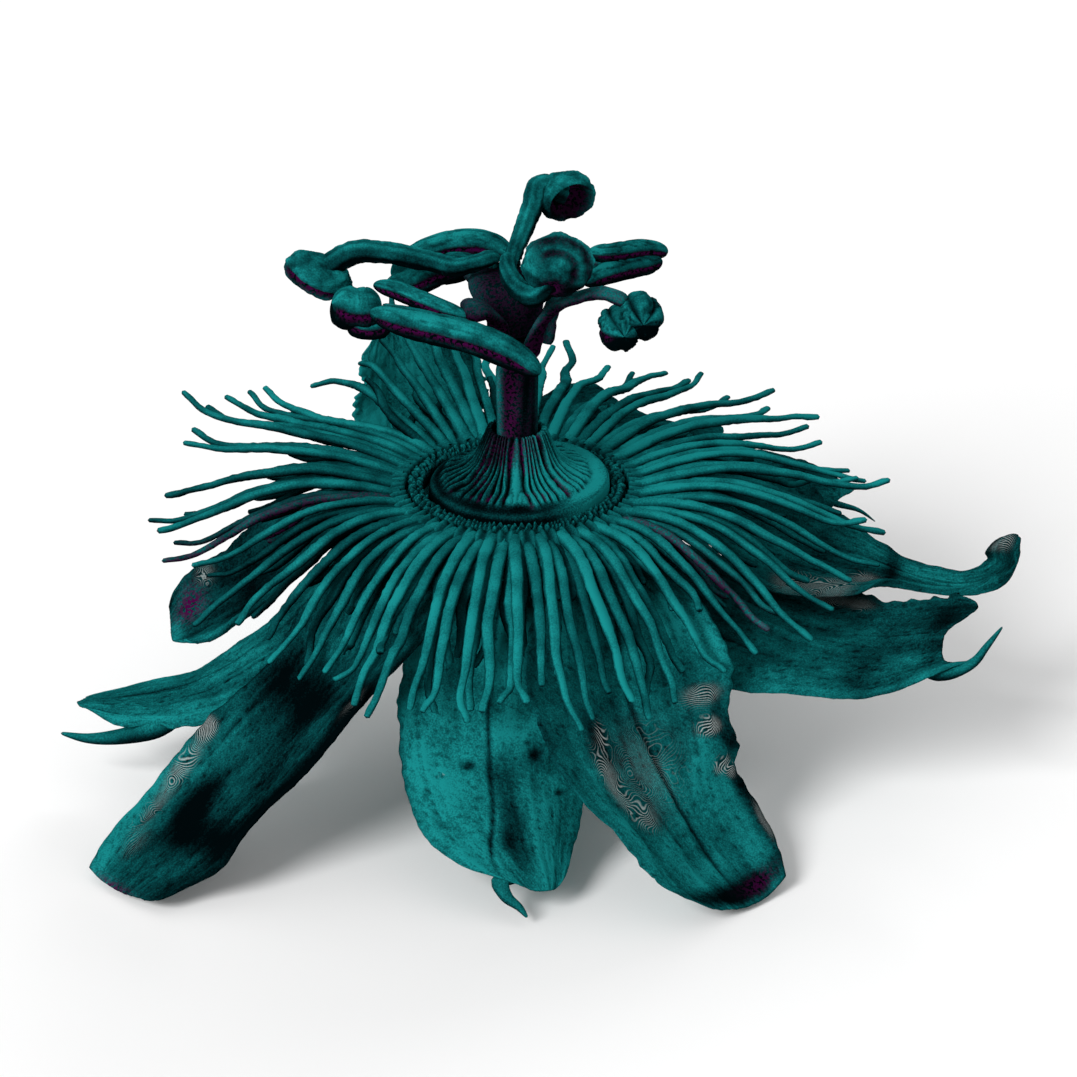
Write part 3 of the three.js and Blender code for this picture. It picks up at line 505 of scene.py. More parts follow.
# Petals: five thinner inner leaves that leave the cup just above the sepals and between them. Some have
# rolled their edges in while drying.
PETAL_SEAT = -1.9
# A petal's marks are soft spots of painted shade where their strength is below zero and of painted light
# where it is above.
PETALS = {
    "petal_front_right": dict(
        azimuth=32, tip=0.7, skew=1, bulge=0.9, wave=0.2,
        path=[(31, 12, -3.7), (26, 16.4, -8.4), (26, 20.3, -13.1), (30.4, 24.2, -17.6), (32.4, 26.6, -18.8)],
        halves=[2.6, 6, 7.4, 7.1, 6, 5.4], cup=[20, 50, 50, 40, 50], roll=[0, -6, -5, 0],
        shade=0.84, rag=(0.03, 0.03), veins=[-0.15, 0.55],
        lobes=[
            (0.88, 1, 0.07, 0.3, 0.12), (0.8, 1, 0.07, 0.3, 0.15), (0.5, 1, 0.08, 0.3, -0.1),
            (0.7, -1, 0.05, 0.3, -0.09), (0.77, -1, 0.012, 0.1, -0.05), (0.85, -1, 0.012, 0.1, -0.04),
        ],
        crease=0.75, fold=[0, 0, 0, 0.12, 0.19, 0.1],
        marks=[
            (0.45, -0.8, 0.13, 0.4, -0.25), (0.5, -0.44, 0.07, 0.1, -0.45),
            (0.962, 0.1, 0.024, 0.8, -1.1), (0.6, 0.92, 0.05, 0.1, -0.7), (0.76, 0.96, 0.05, 0.08, -0.6),
            (0.5, 0.86, 0.05, 0.1, -0.35), (0.86, 0.96, 0.08, 0.07, -0.5), (0.9, 0, 0.035, 0.6, 0.12),
            (0.36, 0.5, 0.05, 0.4, -0.2),
        ],
        pale=[
            (0.6, -0.47, 0.07, 0.1, 0.8), (0.5, -0.36, 0.03, 0.05, 0.9), (0.7, -0.35, 0.04, 0.16, 0.6),
            (0.6, 0, 0.16, 0.5, 0.4), (0.44, 0.7, 0.03, 0.2, 0.9), (0.53, 0.74, 0.025, 0.13, 1.5),
            (0.67, 0.82, 0.03, 0.08, 1.4), (0.71, 0.92, 0.025, 0.06, 1.1), (0.86, 0.97, 0.05, 0.05, 0.8),
        ],
        blush=[(0.965, 0.5, 0.018, 0.3, 0.55)],
    ),
    "petal_right": dict(
        azimuth=104, tip=0.5, skew=0, bulge=0.9, wave=0.3,
        path=[
            (100, 12, -2.7), (96, 17, -4.8), (93, 21, -6.2), (92, 25, -7), (90.8, 28, -7.7),
            (90.2, 30.8, -7.9), (90.6, 33.3, -7), (91, 33.9, -4.9),
        ],
        halves=[2.6, 4.8, 6, 5.7, 5, 4.2, 1.7, 1.6, 2.2, 2.7],
        cup=[20, 40, 50, 50, 60, 60, 120, 150, 110], roll=[0, 6, 14, 14, 6, 0, 0],
        shade=0.66, rag=(0.02, 0.08), veins=[-0.3, 0.3],
        lobes=[(0.57, -1, 0.07, 0.3, 0.28), (0.36, -1, 0.14, 0.3, 0.22), (0.07, -1, 0.09, 0.3, 0.4)],
        crease=0.15, fold=[0, 0],
        marks=[
            (0.645, 0.2, 0.018, 0.9, -0.6), (0.93, -0.4, 0.04, 0.6, -0.3), (0.5, 0.1, 0.08, 0.25, -0.2),
            (0.8, 0, 0.12, 0.9, 0.22),
        ],
        pale=[
            (0.98, 0.5, 0.025, 0.5, 0.8), (0.41, -0.75, 0.05, 0.3, 0.6), (0.5, -0.8, 0.05, 0.3, 0.7),
            (0.58, -0.4, 0.045, 0.3, 0.6),
        ],
    ),
    "petal_back": dict(
        azimuth=173, tip=0.4, skew=0, bulge=0.9, wave=0.2,
        path=[
            (168.5, 12, -1.9), (160, 17, -2.2), (154, 21.5, -3.8), (156, 24.6, -9),
            (160, 26.2, -15), (163, 26.8, -18.6),
        ],
        halves=[2.6, 4.2, 4.8, 5, 4.8, 3.8], cup=[20, 40, 20, 0], roll=[0, 0, 0],
        shade=0.6, rag=(0.03, 0.03), veins=[-0.3, 0.3],
        crease=0.2, fold=[0, 0],
        marks=[(0.75, 0, 0.1, 0.5, -0.3)],
    ),
    "petal_left": dict(
        azimuth=248, tip=0.5, skew=0, bulge=0.5, wave=0.15,
        path=[(252, 12, -4.2), (256.5, 16, -7.6), (260, 20.5, -11.2), (262, 24, -13)],
        halves=[2.6, 4.4, 5.4, 5.5, 5, 4.6], cup=[20, 50, 70, 80], roll=[0, -5, -12],
        shade=0.55, rag=(0.03, 0.03), veins=[-0.2, 0.3],
        lobes=[(0.88, 1, 0.1, 0.3, -0.12)],
        tips=[(1, 1, 0.15, 0.45, -1)],
        crease=0.1, fold=[0, 0],
        marks=[(0.68, -0.1, 0.14, 0.8, -0.45), (0.98, 0, 0.03, 0.8, 0.3), (0.85, 0.85, 0.15, 0.2, 0.3)],
        pale=[(0.84, -0.8, 0.05, 0.25, 0.6)],
        blush=[(0.92, -0.45, 0.045, 0.28, 1.2)],
    ),
    "petal_front_left": dict(
        azimuth=320, tip=0.75, skew=-0.6, bulge=0.5, wave=0.25,
        path=[
            (319, 12, -3.9), (316, 17, -8.4), (312.4, 22, -12.8),
            (310.2, 27.4, -16.7), (310, 32.8, -18.9),
        ],
        halves=[2.6, 5.2, 5.6, 5.6, 5.2, 4.6], cup=[20, 60, 50, 20], roll=[0, 0, 0],
        shade=0.58, rag=(0.03, 0.03), veins=[-0.7, 0.6],
        lobes=[(0.74, -1, 0.13, 0.3, 0.12), (0.94, 1, 0.06, 0.3, -0.12)],
        crease=0, fold=[0, 0],
        marks=[
            (0.76, -0.33, 0.08, 0.22, -0.8), (0.82, -0.02, 0.06, 0.25, -0.7),
            (0.8, 0.5, 0.06, 0.35, -0.6), (0.44, -0.62, 0.07, 0.35, -0.65),
            (0.43, -0.05, 0.07, 0.3, -0.65), (0.37, 0.7, 0.06, 0.25, -0.5),
            (0.64, 0.95, 0.3, 0.24, -0.75), (0.88, -0.85, 0.19, 0.35, 0.5), (0.97, 0.4, 0.05, 0.6, -0.2),
            (0.3, 0.1, 0.06, 0.5, 0.1), (0.6, 0.2, 0.14, 0.6, -0.2),
        ],
        pale=[
            (0.63, -0.93, 0.025, 0.1, 1.6), (0.72, -0.85, 0.06, 0.11, 0.8),
            (0.82, -0.75, 0.06, 0.12, 0.45), (0.9, -0.55, 0.05, 0.2, 0.35), (0.38, 0.8, 0.05, 0.15, 0.4),
        ],
        blush=[(1, -0.3, 0.012, 0.4, 1)],
    ),
}
for seed, (node, petal) in enumerate(PETALS.items()):
    rows = middle_line(petal, PETAL_SEAT)
    cover_with(petal, rows)
    leaf = placed(blade_shape(petal, rows, 31 + 3.7 * seed), node + "_leaf", blade_skin)
    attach(leaf, "root")
    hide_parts(node)

# Corona: long strands in close ranks on a narrow ring at the cup's rim. Each rank starts between the strands
# of the one above, and the lower ones are shorter. A strand is a soft thread that rises or droops outwards,
# lies on any leaf under it, and has dried with a bent or knobbed end.
RING_PROFILE = [(7.6, -0.75), (8.9, -0.75), (9.05, -0.35), (8.4, 0.1), (7.6, 0.2)]
IN_A_RANK = 35
STRAND_LENGTH = 17.4
STRAND_ROOT = 7.7
STRAND_REST = 8.35
# Each rank: its height, the offset of its strands, its share of the full length, and its painted shade,
# darker for the lower ranks that lie under the others.
RANKS = [
    (-0.1, 0, 1, 1), (-0.4, 0.5, 1, 0.88), (-0.65, 0, 0.88, 0.76), (-0.45, 0.25, 0.64, 0.65),
    (-0.6, 0.75, 0.58, 0.58),
]
STRIDE = 0.8
CLIMB_COST = 1.8
FRONT_PITCH = [4, -22, -42, -46, -40]
SIDE_PITCH = [16, 6, -13, -18, 2]
BACK_PITCH = [14, 2, -9, -8, 6]
SHORT_FRONT = 0.14
TILT = 12
SWING = 9
WAVER = 0.3
STRAND_WIDTH = 0.4
SWEEP = (218, 20, 24)
RAISED = (242, 16, 20)
LONG = (333, 5, 0.28)
# Painted shade on the strands round the left side: its azimuth, its spread and its strength.
LEFT_SHADE = (285, 35, 0.2)
SWIRL = (214, 20, 26)
BLUSHED = [(57, 2.5, 0.6), (282, 2.5, 0.6)]
EASING = 12


def draws(state):
    """Chance numbers from 0 to 1, the same in each run."""
    while True:
        state = (state * 1664525 + 1013904223) % 4294967296
        yield state / 4294967296


def near(azimuth, place):
    """How much a habit that the strands have near one azimuth, with a spread round it, holds at another."""
    middle, spread, most = place
    return most * math.exp(-(((azimuth - middle) / spread) ** 2))


def strand_path(azimuth, height, share, slant, draw):
    """The path of a strand. It travels outwards by strides and is lifted wherever a leaf lies under it."""
    facing = math.cos(math.radians(azimuth))
    back, front = rounded(-facing, 0, 0.8), rounded(facing, 0.05, 0.8)
    tilt = TILT * (next(draw) - 0.5) - slant
    swing = SWING * (next(draw) - 0.5)
    wiggle = SWING * (next(draw) - 0.5)
    length = STRAND_LENGTH * (0.86 + 0.14 * next(draw)) * (1 - SHORT_FRONT * front + near(azimuth, LONG))
    length *= share if share > 0.9 else share * (1 - 0.4 * back)
    at = polar(STRAND_REST, azimuth, height)
    points = [at.copy()]
    travelled = lifted = 0
    while travelled < length:
        u = travelled / length
        slope = between(SIDE_PITCH, u) * (1 - front) * (1 - back)
        slope += between(FRONT_PITCH, u) * front + between(BACK_PITCH, u) * back
        pitch = math.radians(slope + (tilt + near(azimuth, RAISED)) * u)
        heading = azimuth + (swing + near(azimuth, SWEEP)) * u
        heading += (wiggle + near(azimuth, SWIRL)) * math.sin(2 * math.pi * u)
        at += polar(STRIDE * math.cos(pitch), heading, STRIDE * math.sin(pitch))
        climb = max(covered.get((round(at.x / CELL), round(at.y / CELL)), -99) - at.z, 0)
        at.z += climb
        lifted += climb
        travelled += STRIDE + CLIMB_COST * climb
        points.append(at.copy())
    for _ in range(EASING if lifted > 1 else 0):
        for before, here, after in zip(points, points[1:], points[2:]):
            here.z = max(here.z, (before.z + after.z) / 2)
    return points


def strand(points, rank_shade, blush, aside, draw):
    """A strand along a path that wavers a little, with its own kink, bent tip and knob. Those towards the
    sides, where aside is 1, are slimmer at their roots. Its root has painted shade where it meets the ring,
    and it has random bands along it."""
    seed, curl, hook, knob, girth = (next(draw) for _ in range(5))
    last = len(points) - 1
    way = (points[-1] - points[-3]).normalized()
    side = Vector((0, 0, 1)).cross(way).normalized()
    for i, at in enumerate(points):
        u = i / last
        loose = rounded(u, 0.1, 0.6)
        at += side * (WAVER * loose * noise.noise(Vector((0.2 * i, 40 * seed, 0))))
        at.z += 0.4 * WAVER * loose * noise.noise(Vector((0.3 * i, 40 * seed, 9)))
        kink = math.exp(-(((u - 0.6 - 0.25 * knob) / 0.08) ** 2))
        bent = rounded(u, 0.8, 1) ** 2
        at += side * (2.2 * (curl - 0.5) * bent + 0.5 * (hook - 0.5) * kink)
        at.z += 1.1 * (hook - 0.42) * bent

    def radius(u):
        bulb = 0.2 * max(knob - 0.4, 0) * math.exp(-(((u - 0.95) / 0.03) ** 2))
        slim = 1 - 0.16 * rounded(u, 0, 0.6) - 0.28 * rounded(u, 0.55, 0.95)
        slim -= 0.06 * aside * rounded(0.8 - u, 0, 0.6)
        swollen = 1 + 0.12 * noise.noise(Vector((5 * u, 50 * seed, 2)))
        return (STRAND_WIDTH + 0.1 * girth) * (slim * swollen + bulb) * math.sqrt(max(1 - u ** 60, 0))

    def shade(u):
        bands = 0.22 * noise.noise(Vector((9 * u, 30 * seed, 4)))
        return rank_shade * (0.8 + 0.15 * rounded(u, 0, 0.1) + bands) + 0.2 * (seed - 0.5)

    return stem(points, 8, 46, radius, 0.74, shade, blush, 0.24)


draw = draws(7)
strands = [turned(RING_PROFILE, 420, 2, closed=True)]


def ridged(p):
    """The ring's skin, with a ridge at the root of each strand of the upper two ranks, painted light on the
    ridges and painted shade between them.
    """
    ridge = math.cos(2 * IN_A_RANK * math.atan2(p.y, p.x))
    return p + Vector((0, 0, 0.14 * ridge)), 0.58 + 0.2 * ridge, 0, 0


reshape(strands[0], ridged)
habit = draws(29)
for rank, (height, offset, share, rank_shade) in enumerate(RANKS):
    for i in range(IN_A_RANK):
        azimuth = (i + offset) * 360 / IN_A_RANK + 2 * (next(draw) - 0.5)
        aside = abs(math.sin(math.radians(azimuth)))
        seat = height * (1 - 0.2 * aside)
        slant = 5 * min(rank, 2)
        path = [polar(STRAND_ROOT, azimuth, seat), *strand_path(azimuth, seat, share, slant, draw)]
        blush = sum(near(azimuth, place) for place in BLUSHED) if rank else 0
        strands.append(strand(path, rank_shade - near(azimuth, LEFT_SHADE), blush, aside, habit))
corona = placed(gather(strands), "corona_strands", tissue("strand_skin", 0.55, 0.5, 0.35))
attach(corona, "root")
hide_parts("corona")

# Inner corona: a short fringe of crinkled tissue just inside the strands, a narrow wall that has dried into
# two frilled edges with a groove between them.
FRINGE_PROFILE = [
    (6.4, -0.75), (7.25, -0.75), (7.27, 0), (7.2, 0.2), (7.08, 0.27), (6.96, 0.2), (6.85, 0.06),
    (6.75, 0.05), (6.66, 0.15), (6.56, 0.22), (6.46, 0.14), (6.4, -0.05),
]
CRINKLES = 118


def crinkled(p):
    """The fringe's skin, crinkled more towards its edges, with the groove between them. The crinkles' crests
    are painted light, and their hollows, the groove and the fringe's lower wall painted shade.
    """
    turn = math.atan2(p.y, p.x)
    crest = rounded(p.z, -0.1, 0.25)
    out = Vector((p.x, p.y, 0)).normalized()
    drift = 9 * noise.noise(2.2 * out) + 4 * noise.noise(7 * out)
    fold = math.sin(CRINKLES * turn + drift + 5 * (p.to_2d().length - 6.8))
    curl = math.sin(0.5 * CRINKLES * turn - drift)
    big = 1 + 0.9 * noise.noise(1.7 * out + Vector((4, 0, 0)))
    at = p + Vector((0, 0, 0.12 * crest * big * fold)) + out * (0.17 * crest * big * curl)
    groove = math.exp(-(((p.to_2d().length - 6.76) / 0.12) ** 2)) * rounded(p.z, -0.2, 0.1)
    return at, 0.52 + 0.28 * fold * crest - 0.25 * groove - 0.3 * rounded(-p.z, 0, 0.4), 0, 0


fringe = turned(FRINGE_PROFILE, 640, 2, closed=True)
reshape(fringe, crinkled)
fringe = placed(fringe, "fringe_crinkled", tissue("fringe_skin", 1, 0.5, 0.5))
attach(fringe, "root")
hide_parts("corona_fringe")

# Operculum: the pleated lid over the nectar chamber. Uneven pleats radiate from a frilled collar round the
# column and end in toes on a smooth shoulder, whose outer wall drops to the cup's floor.
LID_PROFILE = [
    (5.3, -3.4), (5.9, -3.4), (5.95, -0.2), (5.9, 0.15), (5.75, 0.45), (5.5, 0.65), (5.1, 0.87), (4.6, 1.05),
    (3.9, 1.25), (3.4, 1.55), (2.9, 2), (2.6, 2.5), (2.3, 3.2), (2.05, 3.8), (1.85, 4.15), (1.6, 4.15),
    (1.52, 3.6), (2, 2.2), (3.1, 0.95), (4.9, 0.1), (5.3, -0.7),
]
PLEATS = 42
PLEAT_HEIGHT = 0.34
PLEAT_REACH = 4.9


def pleated(p):
    """The lid's skin: pleats from the collar to their reach, then the shoulder. The pleats' crests are
    painted light and their grooves painted shade, with more painted shade round the collar and on the left
    pleats; the shoulder's ledge has painted shade, but painted light at its right.
    """
    radius = math.hypot(p.x, p.y)
    turn = math.atan2(p.y, p.x)
    out = Vector((p.x, p.y, 0)) / radius
    drift = 6 * noise.noise(2 * out) + 4 * noise.noise(Vector((4 * out.x, 4 * out.y, radius / 1.5)))
    ridge = abs(math.sin((PLEATS * turn + drift) / 2)) ** 0.7
    fine = abs(math.sin(PLEATS * turn + 2 * drift + 1)) ** 0.7
    reach = PLEAT_REACH + 0.5 * noise.noise(3.3 * out + Vector((0, 0, 7)))
    outer = rounded(p.z, 0.2, 0.9)
    strength = rounded(reach + 0.45 - radius, 0, 0.7) * outer
    past = rounded(radius - reach, 0, 0.5) * outer
    crest = strength * (ridge - 0.65 + 0.3 * (fine - 0.6))
    share = 1 + 0.26 * crest / radius
    teeth = 0.18 * (ridge - 0.6) * rounded(p.z, 3.6, 4.1)
    right = rounded(out.dot(Vector((0.9, 0.2, 0))), -0.1, 0.75)
    share += 0.055 * right * rounded(radius, 5, 5.8) * rounded(0.9 - p.z, 0, 0.4) * rounded(p.z, -2.5, -0.5)
    shelf = 0.5 * right * rounded(radius, 4.9, 5.8) * rounded(p.z, -0.6, 0.2)
    at = Vector((p.x * share, p.y * share, p.z + PLEAT_HEIGHT * crest - 0.12 * past + teeth + shelf))
    dark = rounded(3 - radius, 0, 1)
    front = rounded(-out.y, 0.2, 1)
    left = rounded(-out.x, -0.3, 0.8)
    shade = 0.64 + 1.4 * crest - 0.35 * dark - 0.65 * left * strength
    ledge = past + rounded(0.5 - p.z, 0, 0.5)
    shade += min(ledge, 1) * (1.35 * right - 0.75)
    blotch = rounded(noise.noise(Vector((1.1 * p.x + 3, 1.1 * p.y, p.z))), -0.05, 0.25)
    purple = strength * rounded(0.9 - ridge, 0, 0.5) * blotch * front
    return at, shade, 0.9 * purple + 0.25 * dark * front, 0


lid = turned(LID_PROFILE, 480, 3, closed=True)
reshape(lid, pleated)
lid = placed(lid, "operculum_pleated", tissue("lid_skin", 1.0, 0.5, 0.5))
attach(lid, "root")
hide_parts("operculum")

# Column: the upright stalk that lifts the stamens and the ovary over the flower. It is dark purple, and
# stands on the cup's floor.
COLUMN_PROFILE = [
    (0, -3.4), (1.6, -3.4), (1.5, -1.5), (1.4, 0.5), (1.36, 3), (1.38, 6), (1.42, 8.6), (1.2, 9.8), (1.1, 11),
    (0, 11),
]


def furrowed(p):
    """The column's skin, with five low ridges that spread out under the stamens, and painted light at both
    sides.
    """
    turn = math.atan2(p.y, p.x)
    wide = 1 + 0.035 * math.cos(5 * turn + 0.4) + 0.03 * noise.noise(Vector((p.x, p.y, p.z / 3)))
    wide += 0.3 * rounded(p.z, 9, 11) * math.cos(5 * turn - 0.9) ** 2
    left = rounded(-math.cos(turn), 0.45, 0.9)
    right = rounded(math.cos(turn), 0.8, 1)
    streak = noise.noise(Vector((1.6 * p.x, 1.6 * p.y, p.z / 5)))
    tinge = 0.08 + 0.5 * math.exp(-(((math.cos(turn) + 0.3) / 0.35) ** 2)) + 0.3 * streak
    shade = 0.08 + 0.65 * left + 0.35 * right + 0.25 * streak
    return Vector((p.x * wide, p.y * wide, p.z)), shade, tinge, 0


column = turned(COLUMN_PROFILE, 64, 5)
reshape(column, furrowed)
column = placed(column, "column_stalk", tissue("column_skin", 0.8, 0.4, 0.4))
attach(column, "root")
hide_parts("column")

# Ovary: an egg of firm dark tissue on the column's top, widest near its upper end and leaning to the left.
# It is turned from one profile, with three faint ridges where its walls meet.
OVARY_SEAT = 11.3
OVARY_PROFILE = [
    (0, 0), (1.15, 0), (1.4, 0.3), (1.6, 0.65), (1.85, 1.1), (2.1, 1.72), (2.32, 2.3), (2.45, 2.84),
    (2.47, 3.2), (2.4, 3.53), (2.2, 3.85), (1.9, 4.08), (1.5, 4.23), (1.1, 4.3), (0, 4.3),
]


def leaning(p):
    """The ovary's skin, leaning to the left and set on the column, with painted light on its left side."""
    ridge = 1 + 0.03 * math.cos(3 * math.atan2(p.y, p.x)) + 0.03 * noise.noise(p / 1.5)
    left = rounded(-p.x / 2.4, 0.2, 1)
    return Vector((p.x * ridge - p.z / 4.3, p.y * ridge, p.z + OVARY_SEAT)), 0.12 + 0.4 * left, 0.25, 0


ovary = turned(OVARY_PROFILE, 64, 2)
reshape(ovary, leaning)
ovary = placed(ovary, "ovary_egg", tissue("ovary_skin", 0.8, 0.3, 0.4))
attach(ovary, "root")
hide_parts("ovary")

# Styles: three fleshy stalks from the ovary's top, each ending in a broad stigma that is folded round a
# furrow with painted shade and a purple tinge in it.
STYLES = {
    "style_left": dict(
        path=[
            (-1.5, 0.2, 16.4), (-2.6, -0.5, 16.4), (-3.8, -0.2, 15.9), (-5.3, 1.2, 15.7),
            (-8, 2.2, 15.9), (-10.3, 3, 15.8), (-11.6, 3.4, 15.2),
        ],
        at=(-13.2, 3.7, 13.8), size=(2.4, 1.4, 1.5), face=(-0.2, -0.8, -0.35),
        turn=-28, slot=0.75, rings=0, mouth=0,
    ),
    "style_back": dict(
        path=[
            (-0.2, 0.6, 16.4), (0.2, 1.6, 17.2), (0.9, 3.2, 18.5), (1.6, 4.2, 19.9),
        ],
        at=(3.3, 4.7, 19.1), size=(2.1, 1.5, 1.75), face=(0.45, -0.75, -0.25),
        turn=-12, slot=0, rings=0, mouth=1.5,
    ),
    "style_front_right": dict(
        path=[
            (-0.5, -1.2, 16.8), (-0.5, -2.5, 16.6), (0.2, -3.7, 15.8), (1.2, -4.4, 15.7),
        ],
        at=(2.7, -4.2, 17.7), size=(2.3, 1.6, 2.1), face=(-0.1, -0.9, 0.1),
        turn=0, slot=0, rings=0.5, mouth=0,
    ),
}
style_skin = tissue("style_skin", 0.6, 1.1, 0.3)


def stigma(style, seed):
    """A ball flattened towards its face, with a slot, rings or a hollow mouth, and lumps of soft tissue.
    Its size is its half width, half depth and half height. Its slot, rings, pit and mouth get painted shade
    and a purple tinge, its lumps painted light and shade, and its lower side painted shade."""
    shape = bmesh.new()
    bmesh.ops.create_icosphere(shape, subdivisions=6, radius=1)
    facing = Vector(style["face"]).normalized()
    across = Vector((0, 0, 1)).cross(facing).normalized()
    across.rotate(Quaternion(facing, math.radians(style["turn"])))
    upwards = facing.cross(across)
    wide, deep, tall = style["size"]

    def place(p):
        rim = math.hypot(p.x, p.z)
        open_side = rounded(p.y, 0, 0.35)
        lump = 0.09 * noise.fractal(1.8 * p + Vector((seed, 0, 0)), 0.9, 2, 4)
        slot = style["slot"] * math.exp(-(((p.z + 0.12 + 0.2 * lump) / 0.17) ** 2))
        slot *= rounded(1.05 - abs(p.x), 0, 0.4)
        upper = rounded(p.x + p.z, -0.5, 0.4)
        rings = style["rings"] * (0.5 - 0.5 * math.cos(17 * rim)) * rounded(rim, 0.3, 0.5) * upper
        pit = style["rings"] * math.exp(-(((p.x + 0.1) / 0.22) ** 2) - ((p.z + 0.62) / 0.24) ** 2)
        mouth = style["mouth"] * max(1 - (rim / 0.82) ** 2, 0) ** 0.7
        dent = open_side * (0.4 * slot + 0.32 * rings + 0.7 * pit + 0.75 * mouth)
        out = p * (1 + lump)
        at = across * out.x * wide + facing * (out.y - dent) * deep + upwards * out.z * tall
        dark = open_side * (0.75 * slot + 0.6 * rings + 1.1 * pit + 0.42 * min(mouth, 1.2))
        tinge = open_side * min(1.1 * slot + 0.25 * rings + 1.6 * pit + 0.35 * mouth, 0.9)
        shade = 0.7 - 1.3 * dark + 3.5 * lump - 0.5 * rounded(-p.z, -0.5, 1)
        return Vector(style["at"]) + at, shade, tinge, 0

    reshape(shape, place)
    return shape


def style_radius(u):
    """Half a style's width, growing towards its stigma."""
    return 0.5 * (1 + 0.7 * u) * math.sqrt(max(1 - (2 * u - 1) ** 30, 0))


for seed, (node, style) in enumerate(STYLES.items()):
    sunk_root = Vector(style["path"][0]) - Vector((0, 0, 0.8))
    stalk = stem(
        [sunk_root, *style["path"], style["at"]], 42, 64, style_radius,
        shade=lambda u: 0.68, texture=0.16, ribs=0.07,
    )
    piece = placed(gather([stalk, stigma(style, 5 * seed)]), node + "_stalk", style_skin)
    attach(piece, "root")
    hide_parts(node)

# Stamens: five flat stalks round the column's neck, each turned out and carrying an anther by its back. An
# anther is two long pouches side by side, with a slit along each that has painted shade and a purple tinge.
STAMENS = {
    "stamen_front_left": dict(
        creases=0.06, folds=0, knob=0.7,
        stalk=[
            (-0.9, -1.7, 10), (-1.1, -2.6, 12.1), (-1.4, -3.4, 13.6), (-2.3, -4, 14.5),
            (-3.5, -4.4, 14.6),
        ],
        pouches=[
            (0.64, [
                (-9.3, -2.6, 15.7), (-7.9, -3, 15.5), (-6.1, -3.6, 15), (-4.4, -4.2, 14.5),
                (-3.1, -4.6, 14.2),
            ]),
            (1.08, [
                (-9.5, -3.2, 14), (-7, -4.2, 13.7), (-4.4, -5, 13.4), (-2.3, -5.6, 13),
                (-0.3, -6, 12.2), (1.6, -6.3, 11),
            ]),
        ],
    ),
    "stamen_right": dict(
        creases=0.13, folds=1, knob=0,
        stalk=[
            (0.9, -1.7, 10), (1.4, -2.2, 12.3), (2.6, -2.8, 14.2), (4.3, -3.6, 15.3),
            (5.9, -4.4, 15.8), (7.3, -4.9, 15.3),
        ],
        pouches=[
            (1.4, [(7, -6.9, 13.8), (6.7, -5.4, 13.8), (6.5, -3.9, 14)]),
            (1.5, [(8.2, -6.6, 14.5), (8, -5, 14.5), (7.7, -3.4, 14.4)]),
        ],
    ),
    "stamen_back_right": dict(
        creases=0.1, folds=0, knob=0,
        stalk=[
            (1.8, 0.7, 10), (2.3, 1.2, 12.3), (3.3, 1.8, 14.1), (4.7, 2.2, 15.3), (5.8, 2.4, 15.3),
        ],
        pouches=[
            (0.82, [(4.4, 0.7, 14.5), (5.8, 1.8, 14.7), (7.9, 3.9, 14.4), (9.7, 5.5, 14.1)]),
            (0.72, [(4.7, 1.6, 16.2), (6.1, 2.6, 15.8), (8.3, 4.6, 15.3), (10.1, 6.2, 14.5)]),
        ],
    ),
    "stamen_back_left": dict(
        creases=0.08, folds=0, knob=0,
        stalk=[
            (-0.7, 1.8, 10), (-1.5, 2.9, 12.3), (-2.8, 3.9, 13.6), (-3.6, 4.8, 14.2),
        ],
        pouches=[
            (1.08, [
                (-8.9, 5, 12.3), (-7.3, 5.1, 12.7), (-5.6, 5.2, 13.4), (-3.9, 5, 13.9),
                (-2.4, 4.6, 14),
            ]),
            (1, [
                (-8.4, 5.6, 12.9), (-6.9, 6, 14.1), (-5.4, 6.2, 14.7), (-3.7, 6.2, 15.1),
                (-1.8, 5.8, 15.1), (-0.3, 5, 14.7),
            ]),
        ],
    ),
    "stamen_left": dict(
        creases=0.03, folds=0, knob=0,
        stalk=[
            (-1.9, 0, 10), (-3.2, 0.2, 11), (-6, 0.3, 12.2), (-9.1, 0.5, 12.7),
        ],
        pouches=[
            (0.85, [(-11.2, 0, 11.9), (-9.8, 0.2, 11.5), (-8.3, 0.4, 11.7)]),
            (1.45, [(-12.2, 0.2, 13.2), (-10.7, 0.5, 12.7), (-8.9, 0.7, 12.8)]),
        ],
    ),
}
POUCH_STEPS = 90
anther_skin = tissue("anther_skin", 0.6, 1.1, 0.3)


